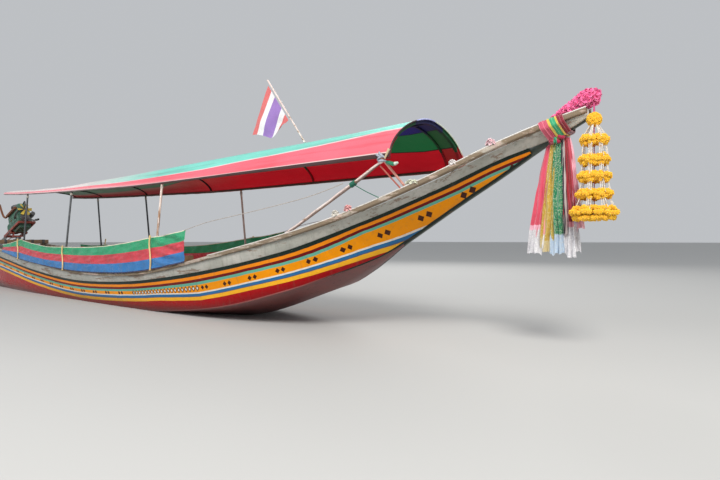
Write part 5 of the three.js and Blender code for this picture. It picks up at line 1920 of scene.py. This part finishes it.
    def faded_lumps(self) -> None:
        """Remains of old garlands that lie along the starboard rail."""
        draw, count = random.Random(self.seed + 3), 16
        for number, (x, reach, high, heart, tip) in enumerate(self.old_garlands, 1):
            middle, places = self.lines.on_rail(x, -1, 0.02, 0.008), []
            for k in range(count):
                a, b = k * self.golden_turn, (k + 0.5) / count
                way = Vector((cos(a) * (1 - b * 0.5), sin(a) * 0.5, b))
                offset = Vector((way.x * reach, way.y * 0.035, way.z * high))
                places.append((middle + offset, way, 0.017 * draw.uniform(0.8, 1.25)))
            piece = Bench.scatter(f"old_garland_{number}", self.open_flower("old_flower"), places, draw)
            dress(Bench.smooth(piece, 60), Petals(f"old_petals_{number}", heart, tip), "pink_flowers")

    def core(self) -> Piece:
        """Cords that carry the marigolds and the pink flowers."""
        low, high = self.tiers[-1][0] - 0.03, self.ball[0] + 0.05
        hang = [(self.string_x, self.string_y, low + (high - low) * k / 12) for k in range(13)]
        along = [(x, 0.0, table(self.lines.rail, x) + over) for x, over, _ in self.garland]
        over = Bench.curve([along[-2], (self.string_x - 0.012, -0.03, 2.33),
                            (self.string_x, self.string_y, self.ball[0] + 0.04)], 6)
        sizes = [max(0.012, r * 0.62) for _, _, r in self.garland]
        parts = [Bench.tube("cord", hang, 0.004, 8), Bench.tube("heap", along, sizes, 12),
                 Bench.tube("loop", over, 0.008, 8)]
        return dress(Bench.join("garland_cords", parts), GARLAND_CORD, "pink_flowers")

    def beads(self) -> Piece:
        """Strings of white beads between the tiers, in groups."""
        draw, places, upright = random.Random(self.seed + 2), [], Vector(UP)
        levels = [(self.ball[0] - 0.06, 0.05)] + [(z - half * 0.6, r) for z, r, half in self.tiers]
        for (high, r0), (low, r1) in zip(levels, [(z + h * 0.5, r) for z, r, h in self.tiers]):
            count = int((high - low + 0.03) / (self.bead * 1.9)) + 1
            for a0 in turns(self.bead_groups, 0.2):
                for string in range(3):
                    a, top, foot = a0 + (string - 1) * 0.13, r0 * 0.72, r1 * (0.74 + 0.05 * string)
                    for t in (k / max(count - 1, 1) for k in range(count)):
                        place = self.by_string(top + (foot - top) * t, a,
                                               high + 0.01 + (low - high - 0.02) * t)
                        places.append((place, upright, self.bead * draw.uniform(0.85, 1.1)))
        model = Bench.start("bead", bpy.ops.mesh.primitive_ico_sphere_add, subdivisions=1, radius=1.0)
        Bench.edit(model, lambda: bpy.ops.transform.resize(value=(1.0, 1.0, 0.9)))
        piece = Bench.smooth(Bench.scatter("bead_strings", model, places, draw), 80)
        return dress(piece, BEAD_GLOSS, "marigolds")

    def build(self) -> None:
        """Builds all that is tied to the bow."""
        for row in self.wraps:
            self.wrap(*row)
        for sash in self.sashes:
            self.hanging(sash)
        for make in (self.knot, self.marigolds, self.faded_lumps, self.pink_flowers, self.core, self.beads):
            make()


# --- Engine and stern gear --------------------------------------------------------------------

CAST_IRON = WornMetal("engine_paint", (0.05, 0.15, 0.1), 0.0, 0.42, 0.25)
DARK_STEEL = WornMetal("dark_steel", (0.12, 0.12, 0.125), 0.7, 0.45, 0.3)
FRAME_STEEL = WornMetal("frame_paint", (0.3, 0.045, 0.03), 0.0, 0.42, 0.35)
TAIL_STEEL = WornMetal("tail_steel", (0.33, 0.34, 0.35), 0.85, 0.38, 0.3)
RUSTY = WornMetal("rusty_pipe", (0.16, 0.1, 0.075), 0.5, 0.65, 0.85)
BRONZE = WornMetal("bronze", (0.5, 0.31, 0.11), 0.95, 0.28, 0.05, (0.1, 0.2, 0.13))
BRIGHT = WornMetal("bolt_steel", (0.3, 0.3, 0.3), 0.9, 0.45, 0.2)
RUBBER = Moulded("rubber", (0.02, 0.02, 0.022), 0.6, 0.35)
BEAM_WOOD = BoatWood("beam_wood", (0.3, 0.19, 0.11), (0.12, 0.07, 0.04), Grain.ACROSS, 3.0)
TANK_BLUE = Moulded("tank_blue", (0.02, 0.09, 0.33), 0.35, 0.35)
BATTERY_BLACK = Moulded("battery_case", (0.02, 0.02, 0.022), 0.4, 0.45)
FAN_PAINT = WornMetal("fan_paint", (0.6, 0.42, 0.04), 0.0, 0.4, 0.2)
FILTER_PAINT = Moulded("filter_paint", (0.5, 0.16, 0.02), 0.35)
CAP_RED = Moulded("cap_red", (0.45, 0.02, 0.02), 0.4)


@dataclass
class Drive:
    """Engine on its swivel, long tail and propeller.

    Places inside the drive are along the crank, to port and up from the tilt pin.
    """

    lines: HullLines
    pin: Point = (-6.85, 0.0, 1.262)
    slope: float = radians(20)
    crank: float = 0.19
    block_aft: float = -0.19
    block_fore: float = 0.52
    block_side: float = 0.126
    head_top: float = 0.52
    cover_top: float = 0.58
    fan_axis: float = 0.385
    plug: Rows = ((-0.004, 0.03), (0.008, 0.03), (0.009, 0.022), (0.003, 0.0))
    cap: Rows = ((0.0, 0.024), (0.02, 0.024), (0.022, 0.032), (0.04, 0.03))
    wheel: Rows = ((0.0, 0.05), (0.012, 0.105), (0.018, 0.105), (0.026, 0.09), (0.034, 0.105), (0.04, 0.105),
                   (0.05, 0.04), (0.07, 0.03))
    belt_wheels: tuple[Point, ...] = ((0.0, 0.19, 0.098), (0.185, 0.3, 0.046), (0.0, 0.385, 0.062))
    alternator: Rows = ((0.33, 0.04), (0.345, 0.052), (0.35, 0.06), (0.47, 0.06), (0.475, 0.05), (0.5, 0.045),
                        (0.515, 0.018))
    pump: Rows = ((0.12, 0.03), (0.14, 0.035), (0.145, 0.04), (0.27, 0.04), (0.275, 0.03), (0.3, 0.02))
    starter: Rows = ((-0.18, 0.04), (-0.02, 0.04), (-0.015, 0.045), (0.06, 0.045), (0.065, 0.02))
    oil_filter: Rows = ((0.135, 0.03), (0.16, 0.03), (0.165, 0.042), (0.25, 0.042), (0.255, 0.034))
    cleaner: Rows = ((0.0, 0.05), (0.008, 0.13), (0.016, 0.135), (0.05, 0.135), (0.058, 0.13), (0.06, 0.13),
                     (0.07, 0.12), (0.072, 0.03), (0.084, 0.012))
    hoses: tuple[tuple[float, tuple[Point, ...]], ...] = (
        (0.016, ((0.55, -0.045, 0.375), (0.57, -0.12, 0.38), (0.52, -0.165, 0.33), (0.4, -0.17, 0.28),
                 (0.3, -0.15, 0.25))),
        (0.018, ((0.48, 0.03, 0.585), (0.56, 0.03, 0.6), (0.59, 0.02, 0.54), (0.575, 0.01, 0.46),
                 (0.55, 0.0, 0.43))))
    grip: tuple[Point, ...] = ((1.13, 0, -0.103), (1.2, 0, -0.125), (1.29, 0, -0.148))
    collar: Rows = ((0.0, 0.038), (0.012, 0.047), (0.03, 0.047))
    collars: tuple[float, ...] = (-0.62, -1.9, -3.3, -4.62)

    def world(self, along: float, port: float, up: float) -> Vector:
        """A place of the drive in the boat's frame."""
        level, rise = cos(self.slope), sin(self.slope)
        return Vector((self.pin[0] + along * level - up * rise, self.pin[1] + port,
                       self.pin[2] + along * rise + up * level))

    def set_in(self, piece: Piece) -> Piece:
        """Moves a piece made in the drive's own places to the boat's frame."""
        for vertex in piece.data.vertices:
            vertex.co = self.world(*vertex.co)
        piece.data.update()
        return piece

    def rod(self, points: Line, radii: float | Sequence[float], sides: int = 12) -> Piece:
        """A round part along points of the drive."""
        return self.set_in(Bench.tube("rod", points, radii, sides))

    def turned(self, at: Point, way: Point, rows: Rows, sides: int = 12) -> Piece:
        """A round part turned about a line of the drive."""
        return self.set_in(Bench.turned("turned", at, way, rows, sides))

    def slab(self, low: Point, high: Point, bevel: float = 0.003, inset: float = 0.0) -> Piece:
        """A box in the drive's own places."""
        return self.set_in(Bench.block("slab", low, high, bevel, inset))

    def group(self, name: str, parts: Sequence[Piece], finish: Finish, slot: str = "steel",
              shade: float = 0.0) -> Piece:
        """Joins parts of the drive to one piece.

        Args:
            name: Piece name.
            parts: The parts.
            finish: Their finish.
            slot: The record's slot.
            shade: Edges sharper than this stay sharp, or 0 to leave the shading.

        Returns:
            The piece.
        """
        piece = Bench.join(name, parts)
        return dress(Bench.smooth(piece, shade) if shade else piece, finish, slot, "drive")

    def casting(self, node: str, name: str, finish: Finish, slot: str = "steel", width: float = 0.004,
                segments: int = 3, body: str = "drive", parts: Sequence[Piece] = ()) -> Piece:
        """A node's own shape with rounded edges, joined with its bosses.

        Args:
            node: The node it stands for.
            name: Piece name.
            finish: Its finish.
            slot: The record's slot.
            width: Width of its rounded edges.
            segments: Faces across them.
            body: The body it moves with.
            parts: Its bosses.

        Returns:
            The piece.
        """
        piece = self.lines.own_shape(node, name, width, segments, shade=38, parts=parts)
        return dress(piece, finish, slot, body, [node])

    def bolts(self, name: str, places: Sequence[tuple[Point, Point]], r: float) -> Piece:
        """Six-sided bolt heads with washers.

        Args:
            name: Piece name.
            places: Place and facing way of each, in the drive.
            r: Radius of a head.

        Returns:
            The piece.
        """
        heads = []
        for at, way in places:
            heads.append(self.turned(at, way, ((0, r * 1.35), (r * 0.3, r * 1.35)), 14))
            heads.append(self.turned(at, way, ((r * 0.25, r), (r * 0.9, r), (r * 1.05, r * 0.8)), 6))
        return self.group(name, heads, BRIGHT, shade=20)

    def block(self) -> None:
        """Block with core plugs, ribs and side covers."""
        parts, aft, fore, side = [], self.block_aft, self.block_fore, self.block_side
        for x in (aft + 0.11 + 0.155 * k for k in range(4)):
            for sign in (-1, 1):
                parts.append(self.turned((x, sign * side, 0.33), (0, sign, 0), self.plug, 20))
                rib = [(x + 0.077, sign * (side + out), z)
                       for out, z in ((-0.006, 0.2), (0.004, 0.23), (0.004, 0.4), (-0.004, 0.42))]
                parts.append(self.rod(rib, (0.009, 0.01, 0.01, 0.008), 8))
        for sign in (-1, 1):
            inner, outer = sorted((sign * 0.146, sign * 0.154))
            parts.append(self.slab((aft + 0.08, inner, 0.11), (fore - 0.08, outer, 0.175), inset=0.012))
        self.casting("engine_block", "cast_block", CAST_IRON, "engine_iron", 0.006, parts=parts)
        self.bolts("block_bolts", [((aft + 0.1 + 0.083 * k, sign * 0.153, z), (0, sign, 0))
                                   for k in range(7) for sign in (-1, 1) for z in (0.12, 0.165)], 0.006)

    def head(self) -> None:
        """Cylinder head with a ribbed cover, bolts, filler cap and injector lines."""
        aft, top, cover = self.block_aft, self.head_top, self.cover_top
        parts = [self.slab((x, -0.07, cover - 0.004), (x + 0.014, 0.07, cover + 0.006))
                 for x in (aft + 0.07 + 0.052 * k for k in range(12))]
        parts.append(self.slab((aft + 0.035, -0.102, top - 0.004),
                               (self.block_fore - 0.035, 0.102, top + 0.009)))
        self.casting("cylinder_head", "ribbed_head", CAST_IRON, "engine_iron", 0.006, parts=parts)
        self.bolts("head_bolts", [((aft + 0.06 + 0.098 * k, y, top + 0.008), UP)
                                  for k in range(7) for y in (-0.097, 0.097)], 0.0065)
        self.group("filler_cap", [self.turned((0.36, 0.0, cover), UP, self.cap)], RUBBER, "tank_plastic")
        pipes = [self.rod(Bench.curve((
            (0.28, 0.2, 0.26), (0.28 + (x - 0.28) * 0.2, 0.2, 0.34), (x, 0.175, 0.44), (x, 0.14, 0.52),
            (x, 0.106, 0.5)), 5), 0.0045, 8) for x in (aft + 0.13 + 0.15 * k for k in range(4))]
        self.group("fuel_lines", pipes, BRIGHT)

    def front(self) -> None:
        """Pulleys, belt, fan and water pump in front of the block."""
        face, axis = self.block_fore, self.fan_axis
        wheels = [self.turned((face, y, z), AHEAD, [(a, r * share) for a, r in self.wheel[:last]], sides)
                  for y, z, share, last, sides in ((0, self.crank, 1, 8, 32), (0, axis, 0.62, 8, 28),
                                                   (0.185, 0.3, 0.45, 6, 24))]
        wheels.append(self.turned((face - 0.01, 0, axis), AHEAD, ((0, 0.05), (0.02, 0.05)), 20))
        self.group("belt_wheels", wheels, DARK_STEEL)
        belt = self.rod([(face + 0.026, y, z) for y, z in self.belt_line()], 0.006, 6)
        self.group("fan_belt", [belt], RUBBER, "tank_plastic")
        blades = []
        for a in turns(6):
            def point(u: float, v: float, a: float = a) -> Point:
                """Place by the shares out along a blade and across it."""
                r, turn = 0.02 + 0.135 * u, a + (v - 0.5) * (0.62 - 0.2 * u)
                return (face + 0.072 + (v - 0.5) * 0.035, r * cos(turn), axis + r * sin(turn))
            blades.append(self.set_in(Bench.thicken(Bench.sheet("blade", 6, 4, point), 0.002)))
        self.group("cooling_fan", blades, FAN_PAINT, shade=40)

    def belt_line(self) -> list[tuple[float, float]]:
        """Closed line (y, z) of the belt round its wheels."""
        cloud = sorted((y + r * cos(a), z + r * sin(a)) for y, z, r in self.belt_wheels
                       for a in turns(40))
        line: list[tuple[float, float]] = []
        for points in (cloud, cloud[::-1]):
            found: list[tuple[float, float]] = []
            for p in points:
                while len(found) > 1 and ((found[-1][0] - found[-2][0]) * (p[1] - found[-2][1])
                                          - (found[-1][1] - found[-2][1]) * (p[0] - found[-2][0])) <= 0:
                    found.pop()
                found.append(p)
            line += found[:-1]
        return [*line, line[0]]

    def auxiliaries(self) -> None:
        """Alternator, fuel pump, filters, starter, hoses and air cleaner."""
        units = [self.turned(at, AHEAD, rows, sides) for at, rows, sides in (
            ((0, 0.185, 0.3), self.alternator, 28), ((0, 0.195, 0.235), self.pump, 16),
            ((0, 0.185, 0.13), self.starter, 20))]
        units += [self.slab((0.36, 0.12, 0.25), (0.4, 0.19, 0.275), 0.004),
                  self.slab((0.15, 0.12, 0.215), (0.2, 0.19, 0.235), 0.004)]
        self.group("side_units", units, DARK_STEEL)
        self.group("oil_filter", [self.turned((0.02, 0, 0.26), (0, 1, 0), self.oil_filter, 20)], FILTER_PAINT,
                   "engine_iron")
        cleaner = [self.turned((0.07, 0.03, self.cover_top + 0.03), UP, self.cleaner, 40),
                   self.turned((0.07, 0.03, self.cover_top - 0.01), UP, ((0, 0.03), (0.045, 0.03)), 20)]
        self.group("air_cleaner", cleaner, DARK_STEEL, "engine_iron")
        hoses = [self.rod(Bench.curve(line, 6), r) for r, line in self.hoses]
        self.group("water_hoses", hoses, RUBBER, "tank_plastic")

    def mounting(self) -> None:
        """Beam, socket and yoke that carry the engine, with their bolts."""
        beam = self.lines.own_shape("engine_beam", "cross_beam", 0.012, 3)
        dress(beam, BEAM_WOOD, "inner_wood", replaces=["engine_beam"])
        low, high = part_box("engine_beam")
        rim = 0.004
        straps = [Bench.block("strap", (low.x - rim, y - 0.03, low.z + rim),
                              (high.x + rim, y + 0.03, high.z + rim), 0.003)
                  for y in (-0.3, -0.55, 0.3, 0.55)]
        dress(Bench.join("beam_straps", straps), DARK_STEEL, "steel")
        self.casting("pivot_socket", "swivel_socket", DARK_STEEL, body="hull")
        self.casting("swivel_yoke", "tilt_yoke", FRAME_STEEL, body="swivel")
        self.casting("engine_frame", "engine_cradle", FRAME_STEEL)
        self.bolts("cradle_bolts", [((x, y, 0.0865), UP) for x in (-0.15, 0.1, 0.3, 0.48)
                                    for y in (-0.166, 0.166)], 0.011)
        self.bolts("pin_nuts", [((0.0, sign * 0.19, 0.0), (0, sign, 0)) for sign in (-1, 1)], 0.02)
        nuts = [Bench.turned("nut", (self.pin[0] + x, y, high.z + 0.0118), UP,
                             ((0, 0.011), (0.012, 0.011)), 6) for x in (-0.05, 0.05) for y in (-0.074, 0.074)]
        dress(Bench.smooth(Bench.join("socket_nuts", nuts), 20), BRIGHT, "steel")

    def tail(self) -> None:
        """Bell housing, tail tube, stays, exhaust, propeller and tiller."""
        self.casting("bell_housing", "bell_casting", CAST_IRON, "engine_iron", 0.006)
        self.bolts("bell_bolts", [((-0.207, 0.1545 * cos(a), self.crank + 0.15 * sin(a)), ASTERN)
                                  for a in turns(10, 0.3)], 0.008)
        parts = [self.turned((x, 0, self.crank), ASTERN, self.collar, 28) for x in self.collars]
        parts += [self.rod(((-0.42, y, 0.05), (-0.75, y * 0.5, 0.13), (-1.35, y * 0.2, self.crank - 0.03)),
                           0.011, 10) for y in (-0.15, 0.15)]
        self.casting("tail_tube", "long_tail", TAIL_STEEL, width=0.002, segments=2, parts=parts)
        self.bolts("flange_bolts", [((-0.45, 0.05 * cos(a), self.crank + 0.05 * sin(a)), ASTERN)
                                    for a in turns(6)], 0.007)
        self.casting("exhaust", "exhaust_pipe", RUSTY, "rusty_steel", 0.005)
        self.casting("propeller", "screw_propeller", BRONZE, "bronze", 0.0025, 2, "screw")
        self.casting("tiller", "steering_tiller", DARK_STEEL, width=0.002, segments=2)
        grip = Bench.curve(self.grip, 8)
        grip = self.rod(grip, [0.021 + 0.003 * (i % 2) for i in range(len(grip))], 18)
        self.group("tiller_grip", [grip], RUBBER, "tank_plastic")

    def build(self) -> None:
        """Builds the whole drive."""
        for make in (self.mounting, self.block, self.head, self.front, self.auxiliaries, self.tail):
            make()


@dataclass
class SternGear:
    """Fuel tank and battery on the aft deck."""

    cap: Rows = ((0.0, 0.034), (0.024, 0.034), (0.028, 0.03), (0.03, 0.012))
    post: Rows = ((-0.004, 0.014), (0.004, 0.014), (0.005, 0.009), (0.02, 0.008))
    lid: float = 0.003

    def tank(self) -> None:
        """Ribbed plastic fuel tank with a handle and a cap."""
        low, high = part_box("fuel_tank")
        x, y, top = (low.x + high.x) / 2, (low.y + high.y) / 2, high.z - 0.035
        parts = [Bench.block("tank", low, (high.x, high.y, top), 0.03)]
        parts += [Bench.block("rib", (low.x - 0.002, low.y + 0.03, z),
                              (high.x + 0.002, high.y - 0.03, z + 0.022), 0.008)
                  for z in (low.z + 0.07, low.z + 0.14, low.z + 0.21)]
        line = Bench.curve([(x + along, low.y + 0.05, top + up) for along, up in
                            ((-0.1, -0.005), (-0.1, 0.025), (0.1, 0.025), (0.1, -0.005))], 6)
        parts.append(Bench.tube("handle", line, 0.01, 10))
        tank = Bench.smooth(Bench.join("ribbed_tank", parts), 40)
        dress(tank, TANK_BLUE, "tank_plastic", replaces=["fuel_tank"])
        dress(Bench.smooth(Bench.turned("tank_cap", (x, y, top), UP, self.cap), 25), CAP_RED, "tank_plastic")

    def battery(self) -> None:
        """Battery with a lid and terminals."""
        low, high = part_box("battery")
        rim = self.lid
        case = Bench.block("case", low, (high.x, high.y, high.z - 0.03), 0.006, 0.014)
        lid = Bench.block("lid", (low.x - rim, low.y - rim, high.z - 0.036),
                          (high.x + rim, high.y + rim, high.z), 0.007)
        dress(Bench.join("battery_case", [case, lid]), BATTERY_BLACK, "battery_plastic", replaces=["battery"])
        posts = [Bench.turned("post", (x, low.y + 0.035, high.z), UP, self.post, 14)
                 for x in (low.x + 0.04, high.x - 0.04)]
        dress(Bench.join("battery_posts", posts), BRIGHT, "steel")

    def build(self) -> None:
        """Builds tank and battery."""
        self.tank()
        self.battery()


# --- Stage ------------------------------------------------------------------------------------


@dataclass(frozen=True)
class Lamp:
    """A soft round area light: its place, what it faces, its size, power and tone."""

    name: str
    place: Point
    aim: Point
    size: float
    power: float
    tone: Colour


@dataclass(frozen=True)
class Stage:
    """Pale floor on the waterline, soft lights and the camera."""

    place: Point = (8.5726, -5.1937, 1.0792)
    heading: float = 40.0
    lens: float = 28.0
    sensor: float = 36.0
    reach: tuple[float, float] = (0.05, 600.0)
    floor_half: float = 260.0
    floor_tone: Colour = (0.5, 0.5, 0.49)
    sky_tone: Colour = (0.93, 0.96, 1.0)
    sky_strength: float = 0.55
    lamps: tuple[Lamp, ...] = (
        Lamp("key", (14.0, -12.0, 13.0), (1.0, 0.0, 0.8), 7.0, 3600.0, (1.0, 0.97, 0.92)),
        Lamp("fill", (-6.0, -15.0, 9.0), (-1.0, 0.0, 1.0), 9.0, 1000.0, (0.93, 0.96, 1.0)),
        Lamp("back", (-4.0, 14.0, 11.0), (0.0, 0.0, 1.0), 9.0, 1000.0, (1.0, 0.98, 0.95)))

    def camera(self) -> None:
        """Level camera off the starboard bow."""
        data = bpy.data.cameras.new("camera")
        data.lens, data.sensor_width = self.lens, self.sensor
        data.clip_start, data.clip_end = self.reach
        made = bpy.data.objects.new("camera", data)
        made.location = self.place
        made.rotation_euler = (radians(90), 0.0, radians(self.heading))
        bpy.context.scene.collection.objects.link(made)
        bpy.context.scene.camera = made

    def floor(self) -> None:
        """Plain pale floor at the waterline."""
        floor = Bench.start("floor", bpy.ops.mesh.primitive_plane_add, size=2 * self.floor_half)
        p = Paint("floor_tone")
        floor.data.materials.append(p.done(self.floor_tone, 0.8, p.noise(3.0), 0.0004))

    def light(self, lamp: Lamp) -> None:
        """Hangs one lamp."""
        data = bpy.data.lights.new(lamp.name, "AREA")
        data.shape, data.size, data.energy, data.color = "DISK", lamp.size, lamp.power, lamp.tone
        made = bpy.data.objects.new(lamp.name, data)
        made.location = lamp.place
        made.rotation_euler = (Vector(lamp.aim) - Vector(lamp.place)).to_track_quat("-Z", "Y").to_euler()
        bpy.context.scene.collection.objects.link(made)

    def sky(self) -> None:
        """Even light from all round."""
        world = bpy.data.worlds.new("studio")
        world.use_nodes = True
        back = world.node_tree.nodes["Background"]
        back.inputs["Color"].default_value = (*self.sky_tone, 1.0)
        back.inputs["Strength"].default_value = self.sky_strength
        bpy.context.scene.world = world

    def build(self) -> None:
        """Sets the whole stage."""
        bpy.context.scene.view_settings.view_transform = "Standard"
        self.camera()
        self.floor()
        self.sky()
        for lamp in self.lamps:
            self.light(lamp)


def main() -> None:
    """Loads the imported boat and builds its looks."""
    logging.basicConfig(level=logging.INFO, format="%(name)s %(message)s")
    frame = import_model()
    lines = HullLines(frame["nodes"])
    for part in (Stage(), Hull(lines), Inside(lines), Canopy(lines), Curtains(lines), Flag(lines),
                 BowDress(lines), Drive(lines), SternGear()):
        part.build()
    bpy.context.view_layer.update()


if __name__ == "__main__":
    main()
